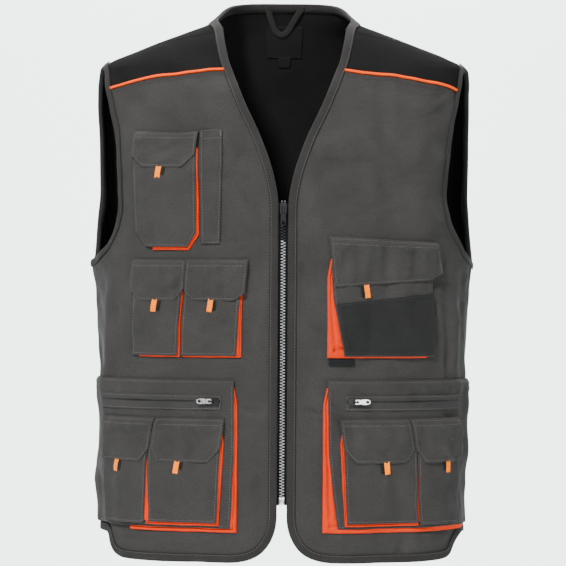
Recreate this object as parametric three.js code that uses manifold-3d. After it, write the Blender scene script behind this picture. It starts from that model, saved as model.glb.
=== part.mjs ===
// Utility work vest, worn form, in millimetres with +Z up.
// The front faces -Y and +X is at the right of someone who looks at the front.
// The origin is at the middle of the vest, at the height of the shoulder's highest seam point.

import * as THREE from 'three';
import { mergeVertices } from 'three/addons/utils/BufferGeometryUtils.js';
import Module from 'manifold-3d';

const wasm = await Module();
wasm.setup();

// Driving sizes of the vest
const LENGTH = 696;
const HALF_WIDTH = 244;
const FRONT_DEPTH = 122;
const BACK_DEPTH = 112;
const FRONT_ROUNDNESS = 2.3;
const BACK_ROUNDNESS = 2.8;
const SIDE_HEM_DROP = 664;
const BACK_HEM_RISE = 20;
const ZIP_TOP_DROP = 247;
const ARMHOLE_DROP = 322;
const BACK_YOKE_DROP = 106;

// Cloth, bands and the gaps between pieces
const CLOTH = 1.5;
const BAND_LEAF = 1.1;
const BAND_WIDTH = 9;
const ARM_BAND_WIDTH = 6.5;
const SEAM_GAP = 0.4;
const BAND_GAP = 0.6;
const ARM_BAND_GAP = 0.95;
const GUSSET_GAP = 0.7;
const FLAP_GAP = 0.9;
const LAYER_GAP = 0.85;
const PIPING_RADIUS = 1.7;

// Main zip
const ZIP_EDGE = 7.4;
const TAPE_HALF_WIDTH = 13;
const TAPE_THICKNESS = 1;
const TEETH_WIDTH = 5.6;
const TEETH_THICKNESS = 2;
const ZIP_LENGTH = 378;
const BOX_HEIGHT = 9;
const BOX_WIDTH = 7;
const BOX_PROUD = 0.6;
const BOX_RISE = 0.5;

// Zip sliders and their pulls
const SLIDER_LENGTH = 14;
const SLIDER_WIDTH = 9;
const SLIDER_THICKNESS = 2.4;
const SLIDER_BRIDGE_SHARE = 0.28;
const BRIDGE_WALL = 0.9;
const BRIDGE_HALF_WIDTH = 0.9;
const BRIDGE_ROOM = 1.35;
const PULL_LENGTH = 18;
const PULL_WIDTH = 6.6;
const PULL_THICKNESS = 1.3;
const PULL_BAR = 1.4;
const PULL_EYE_LENGTH = 2.8;
const PULL_EYE_WIDTH = 3;
const PULL_HOLE_LENGTH = 4;
const PULL_HOLE_WIDTH = 3.4;
const PULL_EYE_RIM = 1.2;
const PULL_HOLE_RIM = 1.4;
const PULL_SHOULDER_LENGTH = 3;
const TRACK_DROP = 19;
const TRACK_HEIGHT = 18;
const TRACK_THICKNESS = 1.2;
const TRACK_INSET = 14;
const TRACK_SIDE_INSET = 44;
const POCKET_SLIDER_PLACE = 12;
const ZIP_LINE_SHARE = 0.4;

// Pockets: clear space behind a front, and the rows of pockets from the hem upwards
const POCKET_DEPTH = 3.4;
const SMALL_DEPTH = 2.6;
const SEWN_ROLL = 6;
const FLAP_ROLL = 8;
const GUSSET_CLOTH = 1.1;
const CARGO_RISE = 5;
const CARGO_HEIGHT = 190;
const CARGO_INNER = 60;
const CARGO_GUSSET = 8;
const CARGO_SIDE_SETBACK = 4;
const SMALL_DROP = 48;
const SMALL_HEIGHT = 130;
const SMALL_INNER = 78;
const SMALL_WIDTH = 94;
const SMALL_SIDE_SETBACK = 45;
const ROW_GAP = 31;
const DOUBLE_HEIGHT = 120;
const DOUBLE_INNER = 52;
const DOUBLE_WIDTH = 146;
const CHEST_HEIGHT = 146;
const CHEST_INNER = 58;
const CHEST_WIDTH = 140;
const PHONE_GAP = 16;
const PHONE_HEIGHT = 145;
const PHONE_INNER = 110;
const PHONE_WIDTH = 82;
const PEN_WIDTH = 29;
const PEN_GAP = 4;
const PEN_DEPTH_SHARE = 0.7;
const PATCH_THICKNESS = 0.8;
const PATCH_TILT = 14;
const CHEST_FLAP_LEAN = 9;

// Widths of the orange gussets; those of the double and the chest pocket grow downwards
const PHONE_FOLD = 6;
const DOUBLE_FOLD = 3;
const DOUBLE_FOLD_GROWTH = 3;
const CHEST_FOLD = 7;
const CHEST_FOLD_GROWTH = 14;
const CARGO_FOLD_HOLD = 2;
const CARGO_FOLD_START = 0.05;
const CARGO_FOLD_FULL = 0.16;
const CARGO_FOLD_END = 0.6;
const CARGO_FRONT_SHARE = 0.97;
const SMALL_FOLD = 5;

// Labels, hanger loop and tabs
const LABEL_WIDTH = 49;
const LABEL_HEIGHT = 41;
const LABEL_DROP = 27;
const LABEL_THICKNESS = 0.8;
const SIZE_TAB_WIDTH = 16;
const SIZE_TAB_HEIGHT = 12;
const SIZE_TAB_OVERLAP = 2;
const LOOP_STRAP = 8;
const LOOP_THICKNESS = 1.5;
const LOOP_WIDTH = 48;
const LOOP_DROP = 37;
const SIDE_LABEL_WIDTH = 32;
const SIDE_LABEL_HEIGHT = 8;
const SIDE_LABEL_DOWN = 1.03;
const TAB_WIDTH = 10;
const TAB_LENGTH = 14;
const TAB_THICKNESS = 1.8;

// Horizontal sections of the form. down is a share of LENGTH, width of HALF_WIDTH,
// front of FRONT_DEPTH and back of BACK_DEPTH.
const SECTIONS = [
  { down: -0.144, width: 0.020, front: 0.35, back: 0.55 },
  { down: -0.086, width: 0.184, front: 0.37, back: 0.58 },
  { down: -0.030, width: 0.299, front: 0.41, back: 0.625 },
  { down: -0.0115, width: 0.328, front: 0.45, back: 0.67 },
  { down: 0.0043, width: 0.3545, front: 0.485, back: 0.71 },
  { down: 0.017, width: 0.3975, front: 0.52, back: 0.745 },
  { down: 0.0345, width: 0.5246, front: 0.56, back: 0.78 },
  { down: 0.056, width: 0.6885, front: 0.61, back: 0.825 },
  { down: 0.079, width: 0.8566, front: 0.66, back: 0.865 },
  { down: 0.092, width: 0.9385, front: 0.69, back: 0.885 },
  { down: 0.1034, width: 0.975, front: 0.72, back: 0.905 },
  { down: 0.1365, width: 0.988, front: 0.80, back: 0.95 },
  { down: 0.20, width: 0.988, front: 0.885, back: 0.985 },
  { down: 0.287, width: 0.988, front: 0.96, back: 1.0 },
  { down: 0.4167, width: 0.996, front: 0.995, back: 0.95 },
  { down: 0.4626, width: 1.0, front: 1.0, back: 0.925 },
  { down: 0.517, width: 0.988, front: 1.0, back: 0.90 },
  { down: 0.603, width: 0.975, front: 0.995, back: 0.875 },
  { down: 0.718, width: 0.96, front: 0.99, back: 0.865 },
  { down: 0.862, width: 0.955, front: 0.995, back: 0.885 },
  { down: 1.006, width: 0.955, front: 1.0, back: 0.905 },
];

// Soft folds of the back and the sides. turn is 1 at the side and 2 at the centre back,
// top and bottom are shares of LENGTH, out is a share of BACK_DEPTH, lean is turn per share.
const FOLDS = [
  { turn: 1.30, spread: 0.075, top: 0.50, bottom: 1.10, out: 0.045, lean: -0.10 },
  { turn: 1.47, spread: 0.070, top: 0.40, bottom: 1.05, out: -0.040, lean: -0.05 },
  { turn: 1.68, spread: 0.085, top: 0.55, bottom: 1.12, out: 0.038, lean: 0.04 },
  { turn: 1.88, spread: 0.075, top: 0.45, bottom: 1.05, out: -0.030, lean: 0.02 },
  { turn: 1.22, spread: 0.060, top: 0.24, bottom: 0.62, out: -0.035, lean: 0.25 },
  { turn: 1.36, spread: 0.060, top: 0.16, bottom: 0.46, out: 0.030, lean: 0.30 },
];

// Edge of the V neck: down is a share of ZIP_TOP_DROP, out a share of HALF_WIDTH along the cloth
const NECK_FRONT = [
  { down: 0.10, out: 0.326 },
  { down: 0.17, out: 0.314 },
  { down: 0.27, out: 0.290 },
  { down: 0.385, out: 0.250 },
  { down: 0.52, out: 0.195 },
  { down: 0.635, out: 0.138 },
  { down: 0.755, out: 0.090 },
  { down: 0.875, out: 0.053 },
  { down: 0.985, out: 0.032 },
];

// Edge of the neck over the shoulder and round the back: drop is a share of LENGTH
const NECK_BACK = [
  { turn: 1.00, down: 0.003 },
  { turn: 1.18, down: -0.010 },
  { turn: 1.36, down: -0.022 },
  { turn: 1.58, down: -0.029 },
  { turn: 1.80, down: -0.031 },
  { turn: 2.00, down: -0.031 },
];

// Armhole's front edge: down is a share of ARMHOLE_DROP, turn is 1 at the side
const ARMHOLE_FRONT = [
  { down: 0.199, turn: 0.985 },
  { down: 0.213, turn: 0.880 },
  { down: 0.228, turn: 0.798 },
  { down: 0.253, turn: 0.756 },
  { down: 0.302, turn: 0.728 },
  { down: 0.351, turn: 0.702 },
  { down: 0.436, turn: 0.671 },
  { down: 0.553, turn: 0.640 },
  { down: 0.668, turn: 0.622 },
  { down: 0.747, turn: 0.622 },
  { down: 0.829, turn: 0.636 },
  { down: 0.876, turn: 0.660 },
  { down: 0.908, turn: 0.685 },
  { down: 0.939, turn: 0.725 },
  { down: 0.970, turn: 0.791 },
  { down: 0.988, turn: 0.870 },
  { down: 0.997, turn: 0.950 },
  { down: 1.000, turn: 1.000 },
];

// Armhole's back edge
const ARMHOLE_BACK = [
  { down: 0.199, turn: 1.015 },
  { down: 0.240, turn: 1.070 },
  { down: 0.330, turn: 1.125 },
  { down: 0.500, turn: 1.160 },
  { down: 0.700, turn: 1.165 },
  { down: 0.860, turn: 1.130 },
  { down: 0.950, turn: 1.080 },
  { down: 0.990, turn: 1.030 },
  { down: 1.000, turn: 1.000 },
];

// Yoke seam with the piping: out is a share of the quarter section, down of LENGTH
const PIPING_LINE = [
  { out: 0.20, down: 0.111 },
  { out: 0.36, down: 0.120 },
  { out: 0.52, down: 0.130 },
  { out: 0.66, down: 0.140 },
  { out: 0.76, down: 0.151 },
  { out: 0.86, down: 0.165 },
];

// Front hem: out is a share of the quarter section, down of LENGTH
const HEM_LINE = [
  { out: 0.0000, down: 0.9000 },
  { out: 0.0120, down: 0.9050 },
  { out: 0.0195, down: 0.9280 },
  { out: 0.0290, down: 0.9480 },
  { out: 0.0400, down: 0.9620 },
  { out: 0.0510, down: 0.9720 },
  { out: 0.0625, down: 0.9790 },
  { out: 0.0740, down: 0.9850 },
  { out: 0.0985, down: 0.9920 },
  { out: 0.1235, down: 0.9965 },
  { out: 0.1500, down: 0.9990 },
  { out: 0.2000, down: 1.0000 },
  { out: 0.3500, down: 1.0000 },
  { out: 0.4800, down: 1.0000 },
  { out: 0.6600, down: 0.9980 },
  { out: 0.7050, down: 0.9900 },
  { out: 0.7350, down: 0.9750 },
  { out: 0.7750, down: 0.9560 },
  { out: 0.8600, down: 0.9545 },
  { out: 1.0000, down: 0.9540 },
];

// Outlines of the pocket pieces: down is a share of the pocket's height, inner and outer
// are shares of its width, from its edge nearest the zip
const PHONE_FRONT = [
  { down: 0.08, inner: 0.02, outer: 0.98 },
  { down: 0.88, inner: 0.00, outer: 0.98 },
  { down: 1.00, inner: 0.13, outer: 0.80 },
];
const PHONE_FLAP = [
  { down: 0.00, inner: -0.02, outer: 0.97 },
  { down: 0.21, inner: 0.03, outer: 1.00 },
  { down: 0.31, inner: 0.23, outer: 0.82 },
];
const PHONE_GUSSET = [
  { down: 0.14, inner: -0.01 },
  { down: 0.54, inner: -0.04 },
  { down: 0.895, inner: -0.05 },
  { down: 1.03, inner: 0.11 },
  { down: 1.03, inner: 0.68 },
];
const DOUBLE_FRONTS = {
  a: [{ down: 0.10, inner: 0.51, outer: 0.955 }, { down: 1.00, inner: 0.56, outer: 1.00 }],
  b: [{ down: 0.10, inner: 0.00, outer: 0.485 }, { down: 1.00, inner: 0.05, outer: 0.52 }],
};
const DOUBLE_FLAPS = {
  a: [
    { down: 0.00, inner: 0.485, outer: 0.96 },
    { down: 0.31, inner: 0.50, outer: 0.98 },
    { down: 0.425, inner: 0.57, outer: 0.89 },
  ],
  b: [
    { down: 0.00, inner: -0.055, outer: 0.475 },
    { down: 0.35, inner: -0.03, outer: 0.49 },
    { down: 0.425, inner: 0.06, outer: 0.41 },
  ],
};
const DOUBLE_GUSSETS = {
  a: [{ down: 0.33, inner: 0.510 }, { down: 1.02, inner: 0.535 }, { down: 1.02, inner: 0.92 }],
  b: [{ down: 0.33, inner: -0.01 }, { down: 1.02, inner: 0.00 }, { down: 1.02, inner: 0.505 }],
};
const CHEST_FRONT = [
  { down: 0.08, inner: 0.02, outer: 0.975 },
  { down: 0.40, inner: 0.03, outer: 0.98 },
  { down: 0.56, inner: 0.05, outer: 0.985 },
  { down: 1.00, inner: 0.14, outer: 1.00 },
];
const CHEST_PATCH = [
  { down: 0.51, inner: 0.065, outer: 0.965 },
  { down: 0.985, inner: 0.15, outer: 0.98 },
];
const CHEST_FLAP = [
  { down: 0.00, inner: 0.00, outer: 1.00 },
  { down: 0.30, inner: 0.035, outer: 1.06 },
  { down: 0.375, inner: 0.055, outer: 0.93 },
];
const CHEST_GUSSET = [
  { down: 0.17, inner: 0.012 },
  { down: 0.33, inner: -0.015 },
  { down: 1.015, inner: -0.015 },
  { down: 1.015, inner: 0.92 },
];
const CARGO_SIDES = [
  { side: -1, name: 'left', base: -0.5, top: 0.1, middle: 0.15, bottom: 0.5 },
  { side: 1, name: 'right', base: -1.1, top: -0.4, middle: -0.1, bottom: 1.2 },
];
const SMALL_FRONT_A = [
  { down: 0.07, inner: -0.05, outer: 1.00 },
  { down: 1.02, inner: 0.045, outer: 1.00 },
];
const SMALL_FRONT_B = [
  { down: 0.07, inner: -0.01, outer: 0.936 },
  { down: 1.00, inner: 0.035, outer: 1.01 },
];
const SMALL_FLAP_A = [
  { down: 0.00, inner: -0.155, outer: 0.98 },
  { down: 0.29, inner: -0.07, outer: 1.05 },
  { down: 0.42, inner: 0.09, outer: 0.97 },
];
const SMALL_FLAP_B = [
  { down: 0.00, inner: -0.065, outer: 0.86 },
  { down: 0.29, inner: -0.01, outer: 0.92 },
  { down: 0.42, inner: 0.15, outer: 0.82 },
];
const SMALL_GUSSET = [
  { down: 0.12, inner: -0.03 },
  { down: 0.24, inner: -0.055 },
  { down: 1.03, inner: 0.00 },
  { down: 1.03, inner: 1.00 },
];

const ARC_STEPS = 40;
const TURN_STEP = 0.06;
const ROW_STEP = 80;
const STEP_TURN = 0.002;
const STEP_DROP = 0.4;

const PEN_FRONT = [
  { down: 0, inner: 0, outer: 1 },
  { down: 0.975, inner: 0.08, outer: 0.88 },
];

// Places of the pull tabs, as shares of each pocket's width and height
const PHONE_TAB = { inner: 0.54, down: 0.31 };
const CHEST_TAB = { inner: 0.31, down: 0.40 };
const DOUBLE_TABS = { a: { inner: 0.72, down: 0.425 }, b: { inner: 0.24, down: 0.425 } };
const SMALL_TABS = { a: { inner: 0.53, down: 0.42 }, b: { inner: 0.52, down: 0.42 } };

const COLOURS = {
  grey: [0x4a4947, 0.92],
  black: [0x232324, 0.93],
  patch: [0x2b2b2c, 0.9],
  band: [0x51504d, 0.9],
  orange: [0xf25a1c, 0.85],
  webbing: [0x2a2a2b, 0.85],
  tape: [0x1f1f20, 0.9],
  label: [0x161617, 0.7],
};

const vest = new THREE.Group();
const materials = {};

function material(name) {
  if (!materials[name]) {
    if (name === 'metal') {
      materials[name] = new THREE.MeshStandardMaterial({ color: 0x9a9a98, roughness: 0.35, metalness: 0.9 });
    } else if (name === 'darkMetal') {
      materials[name] = new THREE.MeshStandardMaterial({ color: 0x2c2c2e, roughness: 0.4, metalness: 0.8 });
    } else {
      const [color, roughness] = COLOURS[name];
      materials[name] = new THREE.MeshStandardMaterial({ color, roughness, metalness: 0 });
    }
  }
  return materials[name];
}

// Smooth monotone curve through the points (xs, ys)
function smoothCurve(xs, ys) {
  const count = xs.length;
  const widths = [];
  const slopes = [];
  for (let i = 0; i < count - 1; i += 1) {
    widths.push(xs[i + 1] - xs[i]);
    slopes.push((ys[i + 1] - ys[i]) / widths[i]);
  }
  const tangents = [slopes[0]];
  for (let i = 1; i < count - 1; i += 1) {
    if (slopes[i - 1] * slopes[i] <= 0) {
      tangents.push(0);
    } else {
      const before = 2 * widths[i] + widths[i - 1];
      const after = widths[i] + 2 * widths[i - 1];
      tangents.push((before + after) / (before / slopes[i - 1] + after / slopes[i]));
    }
  }
  tangents.push(slopes[count - 2]);
  return (value) => {
    const x = Math.min(Math.max(value, xs[0]), xs[count - 1]);
    let i = 0;
    while (i < count - 2 && x > xs[i + 1]) i += 1;
    const t = (x - xs[i]) / widths[i];
    const rise = t * t * (3 - 2 * t);
    const start = ys[i] * (1 - rise) + ys[i + 1] * rise;
    return start + t * (1 - t) * widths[i] * ((1 - t) * tangents[i] - t * tangents[i + 1]);
  };
}

function curveOf(table, along, value) {
  return smoothCurve(table.map((row) => row[along]), table.map((row) => row[value]));
}

const widthShare = curveOf(SECTIONS, 'down', 'width');
const frontShare = curveOf(SECTIONS, 'down', 'front');
const backShare = curveOf(SECTIONS, 'down', 'back');

function bump(distance) {
  return Math.abs(distance) < 1 ? Math.cos(distance * Math.PI / 2) ** 2 : 0;
}

function foldOut(turn, z) {
  const down = -z / LENGTH;
  let out = 0;
  for (const fold of FOLDS) {
    const middle = (fold.top + fold.bottom) / 2;
    const reach = (fold.bottom - fold.top) / 2;
    const centre = fold.turn + fold.lean * (down - middle);
    out += fold.out * BACK_DEPTH * bump((turn - centre) / fold.spread) * bump((down - middle) / reach);
  }
  return out;
}

// Point of the form's outer face. turn is 0 at the centre front, 1 at the side, 2 at the back.
function formPoint(signedTurn, z) {
  const side = signedTurn < 0 ? -1 : 1;
  const turn = Math.abs(signedTurn);
  const angle = turn * Math.PI / 2;
  const down = -z / LENGTH;
  const across = Math.abs(Math.sin(angle));
  const along = Math.cos(angle);
  const power = along > 0 ? FRONT_ROUNDNESS : BACK_ROUNDNESS;
  const reach = (across ** power + Math.abs(along) ** power) ** (-1 / power);
  const fold = turn > 1 ? foldOut(turn, z) : 0;
  const halfWidth = HALF_WIDTH * widthShare(down) + fold;
  const depth = along > 0 ? FRONT_DEPTH * frontShare(down) : BACK_DEPTH * backShare(down) + fold;
  return new THREE.Vector3(
    side * halfWidth * reach * Math.sin(angle), -depth * reach * along, z);
}

function formFrame(turn, z) {
  const alongTurn = formPoint(turn + STEP_TURN, z).sub(formPoint(turn - STEP_TURN, z));
  const alongDrop = formPoint(turn, z + STEP_DROP).sub(formPoint(turn, z - STEP_DROP));
  alongTurn.divideScalar(2 * STEP_TURN);
  alongDrop.divideScalar(2 * STEP_DROP);
  const normal = new THREE.Vector3().crossVectors(alongTurn, alongDrop).normalize();
  return { alongTurn, alongDrop, normal };
}

function raised(turn, z, lift) {
  return formPoint(turn, z).addScaledVector(formFrame(turn, z).normal, lift);
}

// Cloth length from the centre front to each step round a section
const arcTables = new Map();
function arcTable(z) {
  const key = z.toFixed(2);
  if (!arcTables.has(key)) {
    const lengths = [0];
    let last = formPoint(0, z);
    for (let i = 1; i <= 2 * ARC_STEPS; i += 1) {
      const next = formPoint(i / ARC_STEPS, z);
      lengths.push(lengths[i - 1] + next.distanceTo(last));
      last = next;
    }
    arcTables.set(key, lengths);
  }
  return arcTables.get(key);
}

function quarterArc(z) {
  return arcTable(z)[ARC_STEPS];
}

// Turn at a signed cloth length from the centre front
function turnAt(arc, z) {
  const lengths = arcTable(z);
  const wanted = Math.abs(arc);
  let i = 1;
  while (i < lengths.length - 1 && lengths[i] < wanted) i += 1;
  const part = (wanted - lengths[i - 1]) / (lengths[i] - lengths[i - 1]);
  return Math.sign(arc) * (i - 1 + Math.min(part, 1)) / ARC_STEPS;
}

// Cloth length from the centre front at a turn
function arcAt(turn, z) {
  const lengths = arcTable(z);
  const place = turn * ARC_STEPS;
  const i = Math.min(Math.floor(place), lengths.length - 2);
  return mix(lengths[i], lengths[i + 1], place - i);
}

function onCloth(arc, z, lift = 0) {
  return { turn: turnAt(arc, z), z, lift };
}

function mix(a, b, t) {
  return a + (b - a) * t;
}

function mixPlace(a, b, t) {
  return { turn: mix(a.turn, b.turn, t), z: mix(a.z, b.z, t), lift: mix(a.lift ?? 0, b.lift ?? 0, t) };
}

function mirrored(place) {
  const twin = { ...place, turn: -place.turn };
  if (place.toward) twin.toward = mirrored(place.toward);
  return twin;
}

function addMesh(name, materialName, points, faces) {
  let volume = 0;
  for (const [a, b, c] of faces) volume += points[a].dot(points[b].clone().cross(points[c]));
  const indices = [];
  for (const [a, b, c] of faces) indices.push(...(volume < 0 ? [a, c, b] : [a, b, c]));
  const geometry = new THREE.BufferGeometry().setFromPoints(points);
  geometry.setIndex(indices);
  geometry.computeVertexNormals();
  const mesh = new THREE.Mesh(geometry, material(materialName));
  mesh.name = name;
  vest.add(mesh);
  return mesh;
}

// Two triangles of a four-sided face, split along its shorter diagonal
function quadFaces(points, a, b, c, d) {
  const across = points[a].distanceTo(points[c]);
  const other = points[b].distanceTo(points[d]);
  return across <= other ? [[a, b, c], [a, c, d]] : [[a, b, d], [b, c, d]];
}

// Closed sheet of cloth over a grid of places; lift is the height of its inner face
function addSheet(name, materialName, rows, thickness = CLOTH) {
  const across = rows[0].length;
  const points = [];
  for (const row of rows) {
    for (const place of row) {
      points.push(raised(place.turn, place.z, place.lift ?? 0));
      points.push(raised(place.turn, place.z, (place.lift ?? 0) + thickness));
    }
  }
  const inner = (r, c) => 2 * (r * across + c);
  const outer = (r, c) => inner(r, c) + 1;
  const faces = [];
  const quad = (...corners) => faces.push(...quadFaces(points, ...corners));
  const last = across - 1;
  const end = rows.length - 1;
  for (let r = 0; r < end; r += 1) {
    for (let c = 0; c < last; c += 1) {
      quad(outer(r, c), outer(r, c + 1), outer(r + 1, c + 1), outer(r + 1, c));
      quad(inner(r + 1, c), inner(r + 1, c + 1), inner(r, c + 1), inner(r, c));
    }
    quad(inner(r, 0), outer(r, 0), outer(r + 1, 0), inner(r + 1, 0));
    quad(inner(r + 1, last), outer(r + 1, last), outer(r, last), inner(r, last));
  }
  for (let c = 0; c < last; c += 1) {
    quad(inner(0, c + 1), outer(0, c + 1), outer(0, c), inner(0, c));
    quad(inner(end, c), outer(end, c), outer(end, c + 1), inner(end, c + 1));
  }
  return addMesh(name, materialName, points, faces);
}

// Place that lies a distance to the left of the path's direction, along the cloth
function slid(place, direction, distance) {
  const { alongTurn, alongDrop, normal } = formFrame(place.turn, place.z);
  const aside = new THREE.Vector3().crossVectors(normal, direction).normalize().multiplyScalar(distance);
  const tt = alongTurn.dot(alongTurn);
  const td = alongTurn.dot(alongDrop);
  const dd = alongDrop.dot(alongDrop);
  const st = aside.dot(alongTurn);
  const sd = aside.dot(alongDrop);
  const det = tt * dd - td * td;
  return { turn: place.turn + (st * dd - sd * td) / det, z: place.z + (sd * tt - st * td) / det };
}

// Place at the same distance from the path, but on the grid line to the place's neighbour
function slidToNeighbour(place, direction, distance) {
  const { normal } = formFrame(place.turn, place.z);
  const aside = new THREE.Vector3().crossVectors(normal, direction).normalize();
  const { toward } = place;
  const line = formPoint(toward.turn, toward.z).sub(formPoint(place.turn, place.z));
  return mixPlace(place, toward, distance / line.dot(aside));
}

// Strip with a section of [aside, lift] corners, swept along a path of places
function addStrip(name, materialName, path, section, closed = false) {
  const count = path.length;
  const points = [];
  const spots = path.map((place) => formPoint(place.turn, place.z));
  for (let i = 0; i < count; i += 1) {
    const before = spots[closed ? (i + count - 1) % count : Math.max(i - 1, 0)];
    const after = spots[closed ? (i + 1) % count : Math.min(i + 1, count - 1)];
    const direction = after.clone().sub(spots[i]).normalize();
    direction.add(spots[i].clone().sub(before).normalize()).normalize();
    for (const [aside, lift] of section) {
      const place = (path[i].toward ? slidToNeighbour : slid)(path[i], direction, aside);
      points.push(raised(place.turn, place.z, lift + (path[i].lift ?? 0)));
    }
  }
  const sides = section.length;
  const faces = [];
  for (let i = 0; i < (closed ? count : count - 1); i += 1) {
    const next = (i + 1) % count;
    for (let k = 0; k < sides; k += 1) {
      const k2 = (k + 1) % sides;
      faces.push(...quadFaces(points, i * sides + k, i * sides + k2, next * sides + k2, next * sides + k));
    }
  }
  if (!closed) {
    const outline = section.map(([aside, lift]) => new THREE.Vector2(aside, lift));
    const shift = (count - 1) * sides;
    const turned = THREE.ShapeUtils.isClockWise(outline) ? -1 : 1;
    for (const [a, b, c] of THREE.ShapeUtils.triangulateShape(outline, [])) {
      faces.push(turned > 0 ? [c, b, a] : [a, b, c]);
      faces.push(turned > 0 ? [a + shift, b + shift, c + shift] : [c + shift, b + shift, a + shift]);
    }
  }
  return addMesh(name, materialName, points, faces);
}

function spread(from, to, count) {
  return Array.from({ length: count + 1 }, (_, i) => mix(from, to, i / count));
}

// Garment edges of the +X side, as places
const neckOut = curveOf(NECK_FRONT, 'down', 'out');
const neckBackDown = curveOf(NECK_BACK, 'turn', 'down');
const armFrontTurn = curveOf(ARMHOLE_FRONT, 'down', 'turn');
const armBackTurn = curveOf(ARMHOLE_BACK, 'down', 'turn');
const pipingDown = curveOf(PIPING_LINE, 'out', 'down');
const hemDown = curveOf(HEM_LINE, 'out', 'down');

const SIDE_TURN_GAP = SEAM_GAP / 2 / FRONT_DEPTH;

function neckEdge(z) {
  const arc = Math.max(neckOut(-z / ZIP_TOP_DROP) * HALF_WIDTH, ZIP_EDGE);
  return { turn: turnAt(arc, z), z };
}

function frontOuterEdge(z) {
  const down = -z / ARMHOLE_DROP;
  return { turn: down < 1 ? Math.min(armFrontTurn(down), 1 - SIDE_TURN_GAP) : 1 - SIDE_TURN_GAP, z };
}

function backOuterEdge(z) {
  const down = -z / ARMHOLE_DROP;
  return { turn: down < 1 ? Math.max(armBackTurn(down), 1 + SIDE_TURN_GAP) : 1 + SIDE_TURN_GAP, z };
}

function pipingZ(turn) {
  return -LENGTH * pipingDown(turn);
}

function frontHemZ(turn) {
  return -SIDE_HEM_DROP - LENGTH * (hemDown(turn) - hemDown(1));
}

function backHemZ(turn) {
  return -SIDE_HEM_DROP + BACK_HEM_RISE * (1 - Math.cos((turn - 1) * Math.PI)) / 2;
}

// Height at which an edge meets a line given by turn
function meeting(edge, line, z) {
  let height = z;
  for (let i = 0; i < 30; i += 1) height = line(edge(height).turn);
  return height;
}

// Grid between four borders, each a function from 0 to 1, at the given shares
function fillPatch(top, bottom, left, right, across, down) {
  return down.map((v) => across.map((u) => {
    const result = {};
    for (const key of ['turn', 'z']) {
      const ruled = mix(top(u)[key], bottom(u)[key], v) + mix(left(v)[key], right(v)[key], u);
      const corners = mix(mix(top(0)[key], top(1)[key], u), mix(bottom(0)[key], bottom(1)[key], u), v);
      result[key] = ruled - corners;
    }
    return { ...result, lift: -CLOTH };
  }));
}

const FRONT_COLUMNS = [0, 0.018, 0.05, 0.10, 0.20, 0.31, 0.42, 0.53, 0.62, 0.69, 0.735, 0.785, 0.84, 0.90,
  0.96, 1];
// Rows of a panel: shares of the way down its armhole, then shares of the way down its side
const FRONT_ARM_ROWS = [0, 0.17, 0.35, 0.53, 0.69, 0.80, 0.88, 0.93, 0.96, 0.982, 0.9945, 1];
const FRONT_SIDE_ROWS = [0.12, 0.34, 0.57, 0.78, 0.90, 0.96, 1];

function panelRows(topZ, armRows, sideRows) {
  const arm = (-ARMHOLE_DROP - topZ) / (-SIDE_HEM_DROP - topZ);
  return [...armRows.map((share) => share * arm), ...sideRows.map((share) => mix(arm, 1, share))];
}

const pipingInnerZ = meeting(neckEdge, pipingZ, -BACK_YOKE_DROP);
const pipingOuterZ = meeting(frontOuterEdge, pipingZ, -BACK_YOKE_DROP);
const zipHemZ = frontHemZ(neckEdge(-LENGTH).turn);

function frontPanelRows() {
  const topZ = pipingInnerZ - SEAM_GAP / 2;
  const outerTopZ = pipingOuterZ - SEAM_GAP / 2;
  const left = (v) => neckEdge(mix(topZ, zipHemZ, v));
  const right = (v) => frontOuterEdge(mix(outerTopZ, -SIDE_HEM_DROP, v));
  const innerDrop = topZ - pipingZ(left(0).turn);
  const outerDrop = outerTopZ - pipingZ(right(0).turn);
  const top = (u) => {
    const turn = mix(left(0).turn, right(0).turn, u);
    return { turn, z: mix(innerDrop, outerDrop, u) + pipingZ(turn) };
  };
  const bottom = (u) => {
    const turn = mix(left(1).turn, right(1).turn, u);
    return { turn, z: frontHemZ(turn) };
  };
  const rows = panelRows(outerTopZ, FRONT_ARM_ROWS, FRONT_SIDE_ROWS);
  return fillPatch(top, bottom, left, right, FRONT_COLUMNS, rows);
}

// Shoulder seam of the +X side, from the neck to the armhole
const SEAM_NECK_DOWN = 0.105;
const SEAM_TIP_DOWN = 0.203;
const SEAM_BOW = 0.07;
const seamNeck = neckEdge(-SEAM_NECK_DOWN * ZIP_TOP_DROP);
const seamTip = frontOuterEdge(-SEAM_TIP_DOWN * ARMHOLE_DROP);

function shoulderSeam(u) {
  const place = mixPlace(seamNeck, seamTip, u);
  place.turn += SEAM_BOW * Math.sin(u * Math.PI);
  return place;
}

const YOKE_ROWS = [0, 0.25, 0.5, 0.75, 1];

function frontYokeRows() {
  const gap = SEAM_GAP / 2;
  const left = (v) => neckEdge(mix(seamNeck.z - gap, pipingInnerZ + gap, v));
  const right = (v) => frontOuterEdge(mix(seamTip.z - gap, pipingOuterZ + gap, v));
  const top = (u) => ({ turn: shoulderSeam(u).turn, z: shoulderSeam(u).z - gap });
  const innerDrop = left(1).z - pipingZ(left(1).turn);
  const outerDrop = right(1).z - pipingZ(right(1).turn);
  const bottom = (u) => {
    const turn = mix(left(1).turn, right(1).turn, u);
    return { turn, z: mix(innerDrop, outerDrop, u) + pipingZ(turn) };
  };
  return fillPatch(top, bottom, left, right, FRONT_COLUMNS, YOKE_ROWS);
}

// Back yoke: from the shoulder seam over the shoulder to the centre back, neck edge to outer edge
const OVER_STEPS = 4;
const ARM_STEPS = 5;
const BACK_STEPS = 6;
const TIP_BACK_SHARE = 0.205;
const TIP_CROWDING = 1.4;
const RIDGE_CROWDING = 0.65;
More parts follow.
